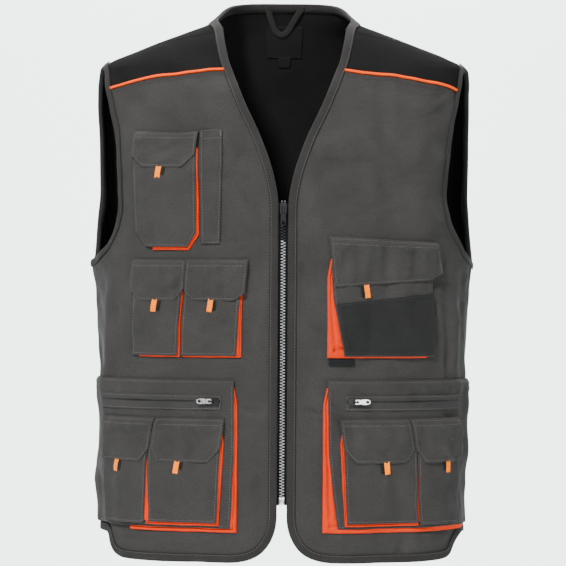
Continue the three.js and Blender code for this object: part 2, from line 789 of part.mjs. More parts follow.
// Turns of the yoke's outer end at the shoulder tip and of its inner end above the armhole's back
const TIP_TURN = 1.02;
const YOKE_SIDE_TURN = 1.25;
const YOKE_DEPTH_STEPS = [0, 0.06, 0.12, 0.27, 0.48, 0.70, 0.86, 0.92, 0.955, 1];

const backYokeZ = -BACK_YOKE_DROP;
const backCorner = backOuterEdge(backYokeZ);

function backYokeSpokes() {
  const inner = [];
  const outer = [];
  const gap = SEAM_GAP / 2;
  for (const t of spread(0, 1, OVER_STEPS)) {
    const ridgeNeck = { turn: 1, z: -LENGTH * neckBackDown(1) };
    const height = mix(seamNeck.z, ridgeNeck.z, t ** RIDGE_CROWDING);
    inner.push({ turn: mix(seamNeck.turn, 1, t), z: t === 0 ? seamNeck.z + gap : height });
    const tipZ = seamTip.z + 2 * gap;
    outer.push({ turn: mix(seamTip.turn, TIP_TURN, t), z: mix(seamTip.z + gap, tipZ, t) });
  }
  for (const t of spread(0, 1, ARM_STEPS).slice(1)) {
    const turn = mix(1, YOKE_SIDE_TURN, t);
    inner.push({ turn, z: -LENGTH * neckBackDown(turn) });
    outer.push(backOuterEdge(mix(TIP_BACK_SHARE * -ARMHOLE_DROP, backYokeZ + gap, t ** TIP_CROWDING)));
  }
  for (const t of spread(0, 1, BACK_STEPS).slice(1)) {
    const turn = mix(YOKE_SIDE_TURN, 2, t);
    inner.push({ turn, z: -LENGTH * neckBackDown(turn) });
    outer.push({ turn: mix(backCorner.turn, 2, t), z: backYokeZ + gap });
  }
  return { inner, outer };
}

function backYokeRows() {
  const { inner, outer } = backYokeSpokes();
  const half = inner.map((place, i) => YOKE_DEPTH_STEPS.map((t) => {
    const spoke = mixPlace(place, outer[i], t);
    return { ...spoke, lift: -CLOTH };
  }));
  // The first spoke follows the shoulder seam
  half[0] = YOKE_DEPTH_STEPS.map((t) => {
    const seam = shoulderSeam(t);
    return { ...seam, z: seam.z + SEAM_GAP / 2, lift: -CLOTH };
  });
  const other = half.slice(0, -1).map((row) => row.map(mirrored)).reverse();
  return [...half, ...other];
}

const BACK_COLUMNS = [0, 0.05, 0.13, 0.22, 0.32, 0.42, 0.54, 0.67, 0.83, 1];
const BACK_ARM_ROWS = [0, 0.2, 0.42, 0.62, 0.76, 0.86, 0.92, 0.96, 0.985, 1];
const BACK_SIDE_ROWS = [0.12, 0.30, 0.48, 0.66, 0.84, 1];

function backPanelRows() {
  const topZ = backYokeZ - SEAM_GAP / 2;
  const left = (v) => backOuterEdge(mix(topZ, -SIDE_HEM_DROP, v));
  const right = (v) => ({ turn: 2, z: mix(topZ, backHemZ(2), v) });
  const top = (u) => ({ turn: mix(left(0).turn, 2, u), z: topZ });
  const bottom = (u) => {
    const turn = mix(left(1).turn, 2, u);
    return { turn, z: backHemZ(turn) };
  };
  const rows = panelRows(topZ, BACK_ARM_ROWS, BACK_SIDE_ROWS);
  const half = fillPatch(top, bottom, left, right, BACK_COLUMNS, rows);
  return half.map((row) => [...row, ...row.slice(0, -1).map(mirrored).reverse()]);
}

const frontRows = frontPanelRows();
const yokeRows = frontYokeRows();
const yokeSpokes = backYokeRows();
const backRows = backPanelRows();
const halfSpokes = yokeSpokes.slice(0, (yokeSpokes.length + 1) / 2);

function signed(side, rows) {
  return rows.map((row) => row.map((place) => ({ ...place, turn: side * place.turn })));
}

// Section of a band folded round a cloth edge, with a leaf outside and one inside
function bandSection(direction, width, gap) {
  const outer = gap + BAND_LEAF;
  const inner = -CLOTH - gap - BAND_LEAF;
  return [
    [width, gap], [width, outer], [width / 2, outer], [-outer, outer], [-outer, inner],
    [width, inner], [width, -CLOTH - gap], [-gap, -CLOTH - gap], [-gap, gap], [width / 2, gap],
  ].map(([aside, lift]) => [direction * aside, lift]);
}

function edgeOf(rows, column, neighbour) {
  return rows.map((row) => {
    const { turn, z } = row.at(column);
    return neighbour === undefined ? { turn, z } : { turn, z, toward: row.at(neighbour) };
  });
}

function addBands() {
  const frontEdge = edgeOf(frontRows, 0).filter((place, i, all) => {
    return place.z > -ARMHOLE_DROP || i === all.length - 1 || i % 2 === 0;
  }).reverse();
  const yokeEdge = edgeOf(yokeRows, 0).slice(1, -1).reverse();
  const neck = edgeOf(halfSpokes, 0, 1);
  const half = [...frontEdge, ...yokeEdge, ...neck];
  const path = [...half, ...half.slice(0, -1).map(mirrored).reverse()];
  addStrip('edge_band', 'band', path, bandSection(-1, BAND_WIDTH, BAND_GAP));
  const down = edgeOf(frontRows, -1).slice(0, FRONT_ARM_ROWS.length);
  const overShoulder = edgeOf(yokeRows, -1).slice(0, -1);
  const backOuter = edgeOf(halfSpokes, -1).slice(1, OVER_STEPS + ARM_STEPS).reverse();
  const up = edgeOf(backRows, 0).slice(0, BACK_ARM_ROWS.length - 1).reverse();
  const loop = [...overShoulder, ...down, ...up, ...backOuter];
  for (const [label, direction, line] of [['right', -1, loop], ['left', 1, loop.map(mirrored)]]) {
    const section = bandSection(direction, ARM_BAND_WIDTH, ARM_BAND_GAP);
    addStrip(`armhole_band_${label}`, 'band', line, section, true);
  }
}

const CORD_SIDES = 6;
const cordSection = Array.from({ length: CORD_SIDES }, (_, i) => {
  const angle = (i / CORD_SIDES) * 2 * Math.PI;
  return [PIPING_RADIUS * Math.cos(angle), SEAM_GAP + PIPING_RADIUS * (1 + Math.sin(angle))];
});

function addPiping(side, label) {
  const line = frontRows[0].map(({ turn }) => ({ turn, z: pipingZ(turn), lift: 0 }));
  const clear = line.filter((place) => {
    const fromNeck = formPoint(place.turn, place.z).distanceTo(formPoint(line[0].turn, line[0].z));
    const fromArm = formPoint(place.turn, place.z).distanceTo(formPoint(line.at(-1).turn, line.at(-1).z));
    return Math.min(fromNeck, fromArm) > BAND_WIDTH + 2 * BAND_GAP;
  });
  const start = slid(line[0], new THREE.Vector3(0, 0, 1), -BAND_WIDTH - 2 * BAND_GAP);
  const end = slid(line.at(-1), new THREE.Vector3(0, 0, 1), BAND_WIDTH + 2 * BAND_GAP);
  const path = [start, ...clear, end].map(({ turn }) => ({ turn: side * turn, z: pipingZ(turn), lift: 0 }));
  addStrip(`piping_${label}`, 'orange', path, cordSection);
}

// Solids placed on the cloth: up lies along it, out is its normal
function surfaceFrame(turn, z, lift, along) {
  const { normal, alongDrop } = formFrame(turn, z);
  const up = along ? along.clone() : alongDrop.clone();
  up.addScaledVector(normal, -up.dot(normal)).normalize();
  const across = new THREE.Vector3().crossVectors(up, normal);
  const holder = new THREE.Group();
  holder.quaternion.setFromRotationMatrix(new THREE.Matrix4().makeBasis(across, up, normal));
  holder.position.copy(raised(turn, z, lift));
  return holder;
}

function toManifold(geometry) {
  const bare = geometry.clone();
  bare.deleteAttribute('normal');
  bare.deleteAttribute('uv');
  const merged = mergeVertices(bare);
  return new wasm.Manifold(new wasm.Mesh({
    numProp: 3, vertProperties: merged.attributes.position.array, triVerts: merged.index.array,
  }));
}

function fromManifold(solid) {
  const { vertProperties, triVerts } = solid.getMesh();
  const geometry = new THREE.BufferGeometry();
  geometry.setAttribute('position', new THREE.BufferAttribute(vertProperties, 3));
  geometry.setIndex(new THREE.BufferAttribute(triVerts, 1));
  geometry.computeVertexNormals();
  return geometry;
}

function joined(geometries) {
  return fromManifold(geometries.map(toManifold).reduce((whole, piece) => whole.add(piece)));
}

function outlineShape(corners) {
  return new THREE.Shape(corners.map(([x, y]) => new THREE.Vector2(x, y)));
}

function plate(shape, thickness) {
  return new THREE.ExtrudeGeometry(shape, { depth: thickness, bevelEnabled: false });
}

const PULL_AXIS = SLIDER_THICKNESS + BRIDGE_ROOM;
const BRIDGE_TOP = PULL_AXIS + BRIDGE_ROOM + BRIDGE_WALL;

// Slider with the bridge that holds the pull; its middle is at the pull's axis
function sliderGeometry() {
  const half = SLIDER_WIDTH / 2;
  const low = -SLIDER_LENGTH * SLIDER_BRIDGE_SHARE;
  const high = low + SLIDER_LENGTH;
  const body = outlineShape([
    [-half * 0.7, low], [half * 0.7, low], [half, low + half * 0.6], [half, high - half * 0.4],
    [half * 0.6, high], [-half * 0.6, high], [-half, high - half * 0.4], [-half, low + half * 0.6],
  ]);
  const reach = BRIDGE_ROOM + BRIDGE_WALL;
  const foot = SLIDER_THICKNESS / 2;
  const ceiling = BRIDGE_TOP - BRIDGE_WALL;
  const arch = outlineShape([
    [-reach, foot], [-BRIDGE_ROOM, foot], [-BRIDGE_ROOM, ceiling],
    [BRIDGE_ROOM, ceiling], [BRIDGE_ROOM, foot], [reach, foot],
    [reach, BRIDGE_TOP - BRIDGE_WALL * 0.4], [reach - BRIDGE_WALL * 0.6, BRIDGE_TOP],
    [-reach + BRIDGE_WALL * 0.6, BRIDGE_TOP], [-reach, BRIDGE_TOP - BRIDGE_WALL * 0.4],
  ]);
  const bridge = plate(arch, 2 * BRIDGE_HALF_WIDTH);
  bridge.translate(0, 0, -BRIDGE_HALF_WIDTH);
  bridge.applyMatrix4(new THREE.Matrix4().makeBasis(
    new THREE.Vector3(0, 1, 0), new THREE.Vector3(0, 0, 1), new THREE.Vector3(1, 0, 0)));
  return joined([plate(body, SLIDER_THICKNESS), bridge]);
}

// Pull with an eye round the bridge; it hangs towards -Y from its axis
function pullGeometry() {
  const half = PULL_WIDTH / 2;
  const bar = PULL_BAR / 2;
  const neck = -bar - PULL_EYE_LENGTH - PULL_EYE_RIM;
  const waist = neck - PULL_HOLE_RIM;
  const shoulder = neck - PULL_SHOULDER_LENGTH;
  const shape = outlineShape([
    [-half * 0.9, bar], [-half * 0.9, neck], [-half * 0.7, waist], [-half, shoulder],
    [-half, -PULL_LENGTH + half], [-half * 0.55, -PULL_LENGTH], [half * 0.55, -PULL_LENGTH],
    [half, -PULL_LENGTH + half], [half, shoulder], [half * 0.7, waist], [half * 0.9, neck],
    [half * 0.9, bar],
  ]);
  const hole = (width, top, length) => {
    const side = width / 2;
    const foot = top - length;
    const corners = [[-side, top], [side, top], [side, foot], [-side, foot]];
    return new THREE.Path(corners.map(([x, y]) => new THREE.Vector2(x, y)));
  };
  shape.holes.push(hole(PULL_EYE_WIDTH, -bar, PULL_EYE_LENGTH));
  const holeTop = -PULL_LENGTH + PULL_HOLE_LENGTH + PULL_HOLE_RIM;
  shape.holes.push(hole(PULL_HOLE_WIDTH, holeTop, PULL_HOLE_LENGTH));
  const pull = plate(shape, PULL_THICKNESS);
  pull.translate(0, 0, -PULL_THICKNESS / 2);
  return pull;
}

function addPlaced(name, materialName, geometry, holder, out = 0) {
  const mesh = new THREE.Mesh(geometry, material(materialName));
  mesh.name = name;
  mesh.position.z = out;
  holder.add(mesh);
}

function addZipSlider(prefix, metal, turn, z, lift, along) {
  const holder = surfaceFrame(turn, z, lift, along);
  addPlaced(`${prefix}_slider`, 'darkMetal', sliderGeometry(), holder);
  addPlaced(`${prefix}_pull`, metal, pullGeometry(), holder, PULL_AXIS);
  vest.add(holder);
}

const bandInner = -CLOTH - BAND_GAP - BAND_LEAF;
const tapeLift = bandInner - SEAM_GAP - TAPE_THICKNESS;
const teethLift = tapeLift + TAPE_THICKNESS + SEAM_GAP;

function flatSection(halfWidth, lift, thickness) {
  const top = lift + thickness;
  return [[-halfWidth, lift], [halfWidth, lift], [halfWidth, top], [-halfWidth, top]];
}

function addMainZip() {
  const top = -ZIP_TOP_DROP;
  const bottom = top - ZIP_LENGTH;
  const line = spread(top, bottom, 8).map((z) => ({ turn: 0, z }));
  addStrip('zip_tape', 'tape', line, flatSection(TAPE_HALF_WIDTH, tapeLift, TAPE_THICKNESS));
  const chain = spread(top - SEAM_GAP, bottom + BOX_HEIGHT, 8).map((z) => ({ turn: 0, z }));
  const section = flatSection(TEETH_WIDTH / 2, teethLift, TEETH_THICKNESS);
  const teeth = addStrip('zip_teeth', 'metal', chain, section);
  const boxDepth = TEETH_THICKNESS + BOX_PROUD;
  const box = new THREE.BoxGeometry(BOX_WIDTH, BOX_HEIGHT, boxDepth);
  const place = surfaceFrame(0, bottom + BOX_HEIGHT / 2 + BOX_RISE, teethLift + boxDepth / 2);
  place.updateMatrixWorld(true);
  box.applyMatrix4(place.matrixWorld);
  teeth.geometry = joined([teeth.geometry, box]);
  const sliderLift = teethLift + TEETH_THICKNESS + SEAM_GAP;
  const sliderZ = top - SLIDER_LENGTH * (1 - SLIDER_BRIDGE_SHARE) - SEAM_GAP;
  addZipSlider('zip', 'darkMetal', 0, sliderZ, sliderLift);
}

// Levels of the pockets, from the side hem upwards
const cargoBottom = -SIDE_HEM_DROP + CARGO_RISE;
const cargoTop = cargoBottom + CARGO_HEIGHT;
const doubleBottom = cargoTop + ROW_GAP;
const doubleTop = doubleBottom + DOUBLE_HEIGHT;
const phoneTop = doubleTop + PHONE_GAP + PHONE_HEIGHT;
const chestTop = doubleBottom + CHEST_HEIGHT;

// Shares of a cloth length between two arcs, closer together where the form bends more
function acrossShares(start, end, z, rollStart, rollEnd) {
  const from = start + (rollStart ? SEWN_ROLL : 0);
  const to = end - (rollEnd ? SEWN_ROLL : 0);
  const first = turnAt(from, z);
  const last = turnAt(to, z);
  const count = Math.max(1, Math.round((last - first) / TURN_STEP));
  const arcs = spread(first, last, count).map((turn) => arcAt(turn, z));
  return [...(rollStart ? [start] : []), ...arcs, ...(rollEnd ? [end] : [])]
    .map((arc) => (arc - start) / (end - start));
}

// Places over a pocket piece. pocket gives side, top, height, inner, width; the outline is one
// of the tables; sewn names the edges that lie on the cloth below, at lift low. tilt and lean are
// the rises of the top and the foot from one side to the other.
function pocketGrid(pocket, outline, { low, high = low, sewn = '', tilt = 0, lean = 0 }) {
  const inner = linearCurve(outline, 'down', 'inner');
  const outer = linearCurve(outline, 'down', 'outer');
  const from = outline[0].down;
  const to = outline.at(-1).down;
  const height = (to - from) * pocket.height;
  const width = (outer(to) - inner(to)) * pocket.width;
  const roll = sewn.includes('flap') ? FLAP_ROLL : SEWN_ROLL;
  const start = pocket.inner + inner(to) * pocket.width;
  const bottomZ = pocket.top - to * pocket.height;
  const across = acrossShares(start, start + width, bottomZ,
    sewn.includes('inner'), sewn.includes('outer'));
  const knots = outline.slice(1, -1).map((row) => (row.down - from) / (to - from));
  const plain = spread(0, 1, Math.max(1, Math.round(height / ROW_STEP)));
  const top = sewn.includes('top') ? [roll / height] : [];
  const foot = sewn.includes('bottom') ? [1 - SEWN_ROLL / height] : [];
  const down = [...new Set([...plain, ...knots, ...top, ...foot])].sort((a, b) => a - b)
    .filter((v, i, all) => i === 0 || v - all[i - 1] > 0.01);
  return down.map((v) => across.map((u) => {
    const share = from + v * (to - from);
    const z = pocket.top - share * pocket.height + (u - 0.5) * mix(tilt, lean, v);
    const arc = pocket.inner + mix(inner(share), outer(share), u) * pocket.width;
    let rise = 1;
    if (sewn.includes('top')) rise = Math.min(rise, (v * height) / roll);
    if (sewn.includes('bottom')) rise = Math.min(rise, ((1 - v) * height) / SEWN_ROLL);
    if (sewn.includes('inner')) rise = Math.min(rise, (u * width) / SEWN_ROLL);
    if (sewn.includes('outer')) rise = Math.min(rise, ((1 - u) * width) / SEWN_ROLL);
    return onCloth(pocket.side * arc, z, mix(low, high, Math.sin(rise * Math.PI / 2)));
  }));
}

function linearCurve(table, along, value) {
  return (x) => {
    let i = 1;
    while (i < table.length - 1 && table[i][along] < x) i += 1;
    const t = (x - table[i - 1][along]) / (table[i][along] - table[i - 1][along]);
    return mix(table[i - 1][value], table[i][value], Math.min(Math.max(t, 0), 1));
  };
}

// Length of a gusset between two of its ribs; the way down counts less, where the form bends less
const RIB_STEP = 24;
const RIB_DOWN_SHARE = 0.35;

// Sloping gusset from its base line to a line under the open edge of the front
function addGusset(name, pocket, baseLine, width, low, high) {
  const rows = [[], []];
  for (let i = 0; i < baseLine.length - 1; i += 1) {
    const a = baseLine[i];
    const b = baseLine[i + 1];
    const da = (b.down - a.down) * pocket.height;
    const ia = (b.inner - a.inner) * pocket.width;
    const parts = Math.max(1, Math.round(Math.hypot(da * RIB_DOWN_SHARE, ia) / RIB_STEP));
    for (let k = i === 0 ? 0 : 1; k <= parts; k += 1) {
      rows[0].push({ down: mix(a.down, b.down, k / parts), inner: mix(a.inner, b.inner, k / parts) });
    }
  }
  const flat = rows[0].map((spot) => [
    pocket.inner + spot.inner * pocket.width, pocket.top - spot.down * pocket.height]);
  const shifted = flat.map(([arc, z], i) => {
    const before = flat[Math.max(i - 1, 0)];
    const after = flat[Math.min(i + 1, flat.length - 1)];
    const first = new THREE.Vector2(arc - before[0], z - before[1]).normalize();
    const second = new THREE.Vector2(after[0] - arc, after[1] - z).normalize();
    const mean = first.clone().add(second).normalize();
    const stretch = 1 / Math.max(0.5, i === 0 ? 1 : mean.dot(second));
    const reach = width(pocket.top - z) * stretch;
    return [arc - mean.y * reach, z + mean.x * reach];
  });
  const base = flat.map(([arc, z]) => onCloth(pocket.side * arc, z, low));
  const under = shifted.map(([arc, z]) => onCloth(pocket.side * arc, z, high));
  addSheet(name, 'orange', [base, under], GUSSET_CLOTH);
}

// Lift of a pocket front's outer face
const FRONT_TOP = POCKET_DEPTH + CLOTH;

// Webbing tab that shows below a flap, at shares of the pocket's width and height
function addTab(name, pocket, { inner, down }, lift = FRONT_TOP + SEAM_GAP) {
  const arc = pocket.inner + inner * pocket.width;
  const top = pocket.top - down * pocket.height - SEAM_GAP;
  const rows = [top, top - TAB_LENGTH].map((z) => [-1, 1].map((end) => (
    onCloth(pocket.side * (arc + end * TAB_WIDTH / 2), z, lift))));
  addSheet(name, 'webbing', rows, TAB_THICKNESS);
}

const FLAP_LIFT = FRONT_TOP + FLAP_GAP;
const GUSSET_TOP = POCKET_DEPTH - GUSSET_GAP - GUSSET_CLOTH;

function addPhonePocket() {
  const pocket = { side: -1, top: phoneTop, height: PHONE_HEIGHT, inner: PHONE_INNER, width: PHONE_WIDTH };
  addSheet('phone_pocket_front', 'grey', pocketGrid(pocket, PHONE_FRONT,
    { low: LAYER_GAP, high: POCKET_DEPTH, sewn: 'top outer' }));
  addGusset('phone_pocket_gusset', pocket, PHONE_GUSSET, () => PHONE_FOLD, LAYER_GAP, GUSSET_TOP);
  addSheet('phone_pocket_flap', 'grey', pocketGrid(pocket, PHONE_FLAP,
    { low: LAYER_GAP, high: FLAP_LIFT, sewn: 'top flap' }));
  addTab('phone_pocket_tab', pocket, PHONE_TAB);
  const pen = { ...pocket, inner: PHONE_INNER - PEN_GAP - PEN_WIDTH, width: PEN_WIDTH };
  addSheet('pen_pocket', 'grey', pocketGrid(pen, PEN_FRONT,
    { low: LAYER_GAP, high: POCKET_DEPTH * PEN_DEPTH_SHARE, sewn: 'inner outer bottom' }));
}

function addDoublePocket() {
  const pocket = {
    side: -1, top: doubleTop, height: DOUBLE_HEIGHT, inner: DOUBLE_INNER, width: DOUBLE_WIDTH,
  };
  const width = (drop) => DOUBLE_FOLD + DOUBLE_FOLD_GROWTH * Math.min(drop / pocket.height, 1);
  for (const part of ['a', 'b']) {
    const sewn = part === 'a' ? 'top outer' : 'top';
    addSheet(`double_pocket_front_${part}`, 'grey', pocketGrid(pocket, DOUBLE_FRONTS[part],
      { low: LAYER_GAP, high: POCKET_DEPTH, sewn }));
    addGusset(`double_pocket_gusset_${part}`, pocket, DOUBLE_GUSSETS[part], width, LAYER_GAP, GUSSET_TOP);
    addSheet(`double_pocket_flap_${part}`, 'grey', pocketGrid(pocket, DOUBLE_FLAPS[part],
      { low: LAYER_GAP, high: FLAP_LIFT, sewn: 'top flap' }));
    addTab(`double_pocket_tab_${part}`, pocket, DOUBLE_TABS[part]);
  }
}

function addChestPocket() {
  const pocket = { side: 1, top: chestTop, height: CHEST_HEIGHT, inner: CHEST_INNER, width: CHEST_WIDTH };
  addSheet('chest_pocket_front', 'grey', pocketGrid(pocket, CHEST_FRONT,
    { low: LAYER_GAP, high: POCKET_DEPTH, sewn: 'top outer' }));
  addSheet('chest_pocket_patch', 'patch', pocketGrid(pocket, CHEST_PATCH,
    { low: FRONT_TOP + SEAM_GAP, tilt: PATCH_TILT }), PATCH_THICKNESS);
  const width = (drop) => CHEST_FOLD + CHEST_FOLD_GROWTH * (drop / CHEST_HEIGHT) ** 2;
  addGusset('chest_pocket_gusset', pocket, CHEST_GUSSET, width, LAYER_GAP, GUSSET_TOP);
  addSheet('chest_pocket_flap', 'grey', pocketGrid(pocket, CHEST_FLAP,
    { low: LAYER_GAP, high: FLAP_LIFT, sewn: 'top flap', lean: CHEST_FLAP_LEAN }));
  addTab('chest_pocket_tab', pocket, CHEST_TAB);
  const labelTop = pocket.top - CHEST_HEIGHT * SIDE_LABEL_DOWN;
  const rows = [labelTop, labelTop - SIDE_LABEL_HEIGHT].map((z) => [0, 1].map((end) => (
    onCloth(CHEST_INNER + end * SIDE_LABEL_WIDTH, z, LAYER_GAP))));
  addSheet('side_label', 'label', rows, LABEL_THICKNESS);
}

function addCargoPocket({ side, name, base, top, middle, bottom }) {
  const prefix = `cargo_${name}`;
  const sideArc = quarterArc(cargoBottom) - CARGO_SIDE_SETBACK;
  const width = sideArc - CARGO_INNER;
  const pocket = { side, top: cargoTop, height: CARGO_HEIGHT, inner: CARGO_INNER, width };
  const gussetShare = CARGO_GUSSET / width;
  const outline = [
    { down: 0, inner: top * gussetShare, outer: 1 },
    { down: 0.5, inner: middle * gussetShare, outer: 1 },
    { down: CARGO_FRONT_SHARE, inner: bottom * gussetShare, outer: 1 },
  ];
  addSheet(`${prefix}_front`, 'grey', pocketGrid(pocket, outline,
    { low: LAYER_GAP, high: POCKET_DEPTH, sewn: 'top outer' }));
  const baseLine = [
    { down: CARGO_FOLD_START, inner: (top - 0.15) * gussetShare },
    { down: CARGO_FOLD_FULL, inner: base * gussetShare },
    { down: 1, inner: base * gussetShare },
    { down: 1, inner: CARGO_FOLD_END },
  ];
  const slope = (bottom - top) * CARGO_GUSSET / CARGO_HEIGHT;
  addGusset(`${prefix}_gusset`, pocket, baseLine,
    (drop) => (top - base) * CARGO_GUSSET + slope * drop + CARGO_FOLD_HOLD, LAYER_GAP, GUSSET_TOP);
  const trackLift = FRONT_TOP + SEAM_GAP;
  const trackInset = TRACK_INSET + bottom * CARGO_GUSSET / 2;
  const track = [TRACK_DROP, TRACK_DROP + TRACK_HEIGHT].map((drop) => (
    { down: drop / CARGO_HEIGHT, inner: trackInset / width, outer: 1 - TRACK_SIDE_INSET / width }));
  addSheet(`${prefix}_zip_track`, 'tape', pocketGrid(pocket, track, { low: trackLift }), TRACK_THICKNESS);
  const sliderArc = CARGO_INNER + trackInset + POCKET_SLIDER_PLACE;
  const sliderZ = cargoTop - TRACK_DROP - TRACK_HEIGHT * ZIP_LINE_SHARE;
  const centreward = new THREE.Vector3(-side, 0, 0);
  addZipSlider(`${prefix}_zip`, 'metal', turnAt(side * sliderArc, sliderZ), sliderZ,
    trackLift + TRACK_THICKNESS + SEAM_GAP, centreward);
  addSmallPockets(prefix, side, sideArc);
}

function addSmallPockets(prefix, side, sideArc) {
  const smallTop = cargoTop - SMALL_DROP;
  const low = FRONT_TOP + LAYER_GAP;
  const high = FRONT_TOP + SMALL_DEPTH;
  const flapHigh = high + CLOTH + FLAP_GAP;
  const innerPocket = { side, top: smallTop, height: SMALL_HEIGHT, inner: SMALL_INNER, width: SMALL_WIDTH };
  const start = SMALL_INNER + SMALL_WIDTH;
  const outerPocket = { ...innerPocket, inner: start, width: sideArc - SMALL_SIDE_SETBACK - start };
  const parts = [
    ['a', outerPocket, SMALL_FRONT_A, SMALL_FLAP_A, 'top outer', SMALL_TABS.a],
    ['b', innerPocket, SMALL_FRONT_B, SMALL_FLAP_B, 'top', SMALL_TABS.b],
  ];
  for (const [part, pocket, front, flap, sewn, tab] of parts) {
    addSheet(`${prefix}_small_front_${part}`, 'grey', pocketGrid(pocket, front, { low, high, sewn }));
    addSheet(`${prefix}_flap_${part}`, 'grey', pocketGrid(pocket, flap,
      { low, high: flapHigh, sewn: 'top flap' }));
    addTab(`${prefix}_tab_${part}`, pocket, tab, high + CLOTH + SEAM_GAP);
  }
  addGusset(`${prefix}_small_gusset`, innerPocket, SMALL_GUSSET, () => SMALL_FOLD, low,
    high - GUSSET_GAP - GUSSET_CLOTH);
}

// Turn round the back at a distance across from the centre back
function backTurn(x, z) {
  let near = 1.4;
  let far = 2;
  for (let i = 0; i < 40; i += 1) {
    const middle = (near + far) / 2;
    if (formPoint(middle, z).x > Math.abs(x)) near = middle;
    else far = middle;
  }
  return x >= 0 ? far : 4 - far;
}

const neckTop = -LENGTH * neckBackDown(2);

// Line of the hanger loop: aside is a share of half its width, drop of LOOP_DROP
const LOOP_LINE = [
  { aside: -1, drop: 0 },
  { aside: -0.72, drop: 0.55 },
  { aside: -0.5, drop: 0.86 },
  { aside: -0.2, drop: 1 },
  { aside: 0.12, drop: 0.9 },
  { aside: 0.5, drop: 0.5 },
  { aside: 1, drop: 0 },
];

function addNeckPieces() {
  const labelLift = -CLOTH - SEAM_GAP - LABEL_THICKNESS;
  const half = LABEL_WIDTH / 2;
  const tab = SIZE_TAB_WIDTH / 2;
  const labelTop = neckTop - LABEL_DROP;
  const labelRows = [labelTop, labelTop - LABEL_HEIGHT / 2, labelTop - LABEL_HEIGHT].map((z) => (
    [-half, -tab, tab, half].map((x) => ({ turn: backTurn(x, z), z, lift: labelLift }))));
  const label = addSheet('neck_label', 'label', labelRows, LABEL_THICKNESS);
  const tabTop = labelTop - LABEL_HEIGHT + SIZE_TAB_OVERLAP;
  const tabRows = [tabTop, tabTop - SIZE_TAB_HEIGHT - SIZE_TAB_OVERLAP].map((z) => (
    [-tab, tab].map((x) => ({ turn: backTurn(x, z), z, lift: labelLift }))));
  const sizeTab = addSheet('size_tab', 'label', tabRows, LABEL_THICKNESS);
  vest.remove(sizeTab);
  label.geometry = joined([label.geometry, sizeTab.geometry]);
  const loopLift = bandInner - LAYER_GAP - LOOP_THICKNESS;
  const loopTop = neckTop - SEAM_GAP;
  const reach = LOOP_WIDTH / 2;
  const path = LOOP_LINE.map(({ aside, drop }) => {
    const z = loopTop - drop * LOOP_DROP;
    return { turn: backTurn(aside * reach, z), z };
  });
  addStrip('hanger_loop', 'webbing', path, flatSection(LOOP_STRAP / 2, loopLift, LOOP_THICKNESS));
}

for (const [side, label] of [[-1, 'left'], [1, 'right']]) {
  addSheet(`front_panel_${label}`, 'grey', signed(side, frontRows));
  addSheet(`front_yoke_${label}`, 'black', signed(side, yokeRows));
  addPiping(side, label);
}
addSheet('back_yoke', 'black', yokeSpokes);
addSheet('back_panel', 'black', backRows);
addBands();
addMainZip();
addNeckPieces();
addPhonePocket();
addDoublePocket();
addChestPocket();
CARGO_SIDES.forEach(addCargoPocket);

export default vest;
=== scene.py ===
import math

import bpy
import numpy as np
from mathutils import Matrix


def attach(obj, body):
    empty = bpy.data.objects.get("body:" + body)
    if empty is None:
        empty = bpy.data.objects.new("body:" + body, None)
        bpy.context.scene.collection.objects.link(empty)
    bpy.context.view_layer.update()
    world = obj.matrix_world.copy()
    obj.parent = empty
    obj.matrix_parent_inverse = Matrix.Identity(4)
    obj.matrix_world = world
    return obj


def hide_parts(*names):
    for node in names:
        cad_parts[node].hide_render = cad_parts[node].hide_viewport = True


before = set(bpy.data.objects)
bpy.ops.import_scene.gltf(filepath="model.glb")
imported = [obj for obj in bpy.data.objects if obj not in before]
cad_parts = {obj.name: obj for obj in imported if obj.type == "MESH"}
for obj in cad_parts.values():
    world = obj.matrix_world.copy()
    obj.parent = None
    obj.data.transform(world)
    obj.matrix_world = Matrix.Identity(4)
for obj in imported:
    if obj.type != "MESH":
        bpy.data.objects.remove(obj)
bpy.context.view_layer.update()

# Sizes of the vest in millimetres, as in the CAD frame
LENGTH = 696
HALF_WIDTH = 244
FRONT_DEPTH = 122
BACK_DEPTH = 112
FRONT_ROUNDNESS = 2.3
BACK_ROUNDNESS = 2.8
SIDE_HEM_DROP = 664
BACK_HEM_RISE = 20
ZIP_TOP_DROP = 247
ARMHOLE_DROP = 322
BACK_YOKE_DROP = 106
CLOTH = 1.5
BAND_LEAF = 1.1
BAND_WIDTH = 9
ARM_BAND_WIDTH = 6.5
SEAM_GAP = 0.4
BAND_GAP = 0.6
ARM_BAND_GAP = 0.95
GUSSET_GAP = 0.7
FLAP_GAP = 0.9
LAYER_GAP = 0.85
PIPING_RADIUS = 1.7
ZIP_EDGE = 7.4
TAPE_HALF_WIDTH = 13
TAPE_THICKNESS = 1
TEETH_THICKNESS = 2
ZIP_LENGTH = 378
BOX_HEIGHT = 9
BOX_WIDTH = 7
BOX_RISE = 0.5
TRACK_DROP = 19
TRACK_HEIGHT = 18
TRACK_THICKNESS = 1.2
TRACK_INSET = 14
TRACK_SIDE_INSET = 44
ZIP_LINE_SHARE = 0.4
POCKET_DEPTH = 3.4
SMALL_DEPTH = 2.6
SEWN_ROLL = 6
FLAP_ROLL = 8
GUSSET_CLOTH = 1.1
CARGO_RISE = 5
CARGO_HEIGHT = 190
CARGO_INNER = 60
CARGO_GUSSET = 8
CARGO_SIDE_SETBACK = 4
SMALL_DROP = 48
SMALL_HEIGHT = 130
SMALL_INNER = 78
SMALL_WIDTH = 94
SMALL_SIDE_SETBACK = 45
ROW_GAP = 31
DOUBLE_HEIGHT = 120
DOUBLE_INNER = 52
DOUBLE_WIDTH = 146
CHEST_HEIGHT = 146
CHEST_INNER = 58
CHEST_WIDTH = 140
PHONE_GAP = 16
PHONE_HEIGHT = 145
PHONE_INNER = 110
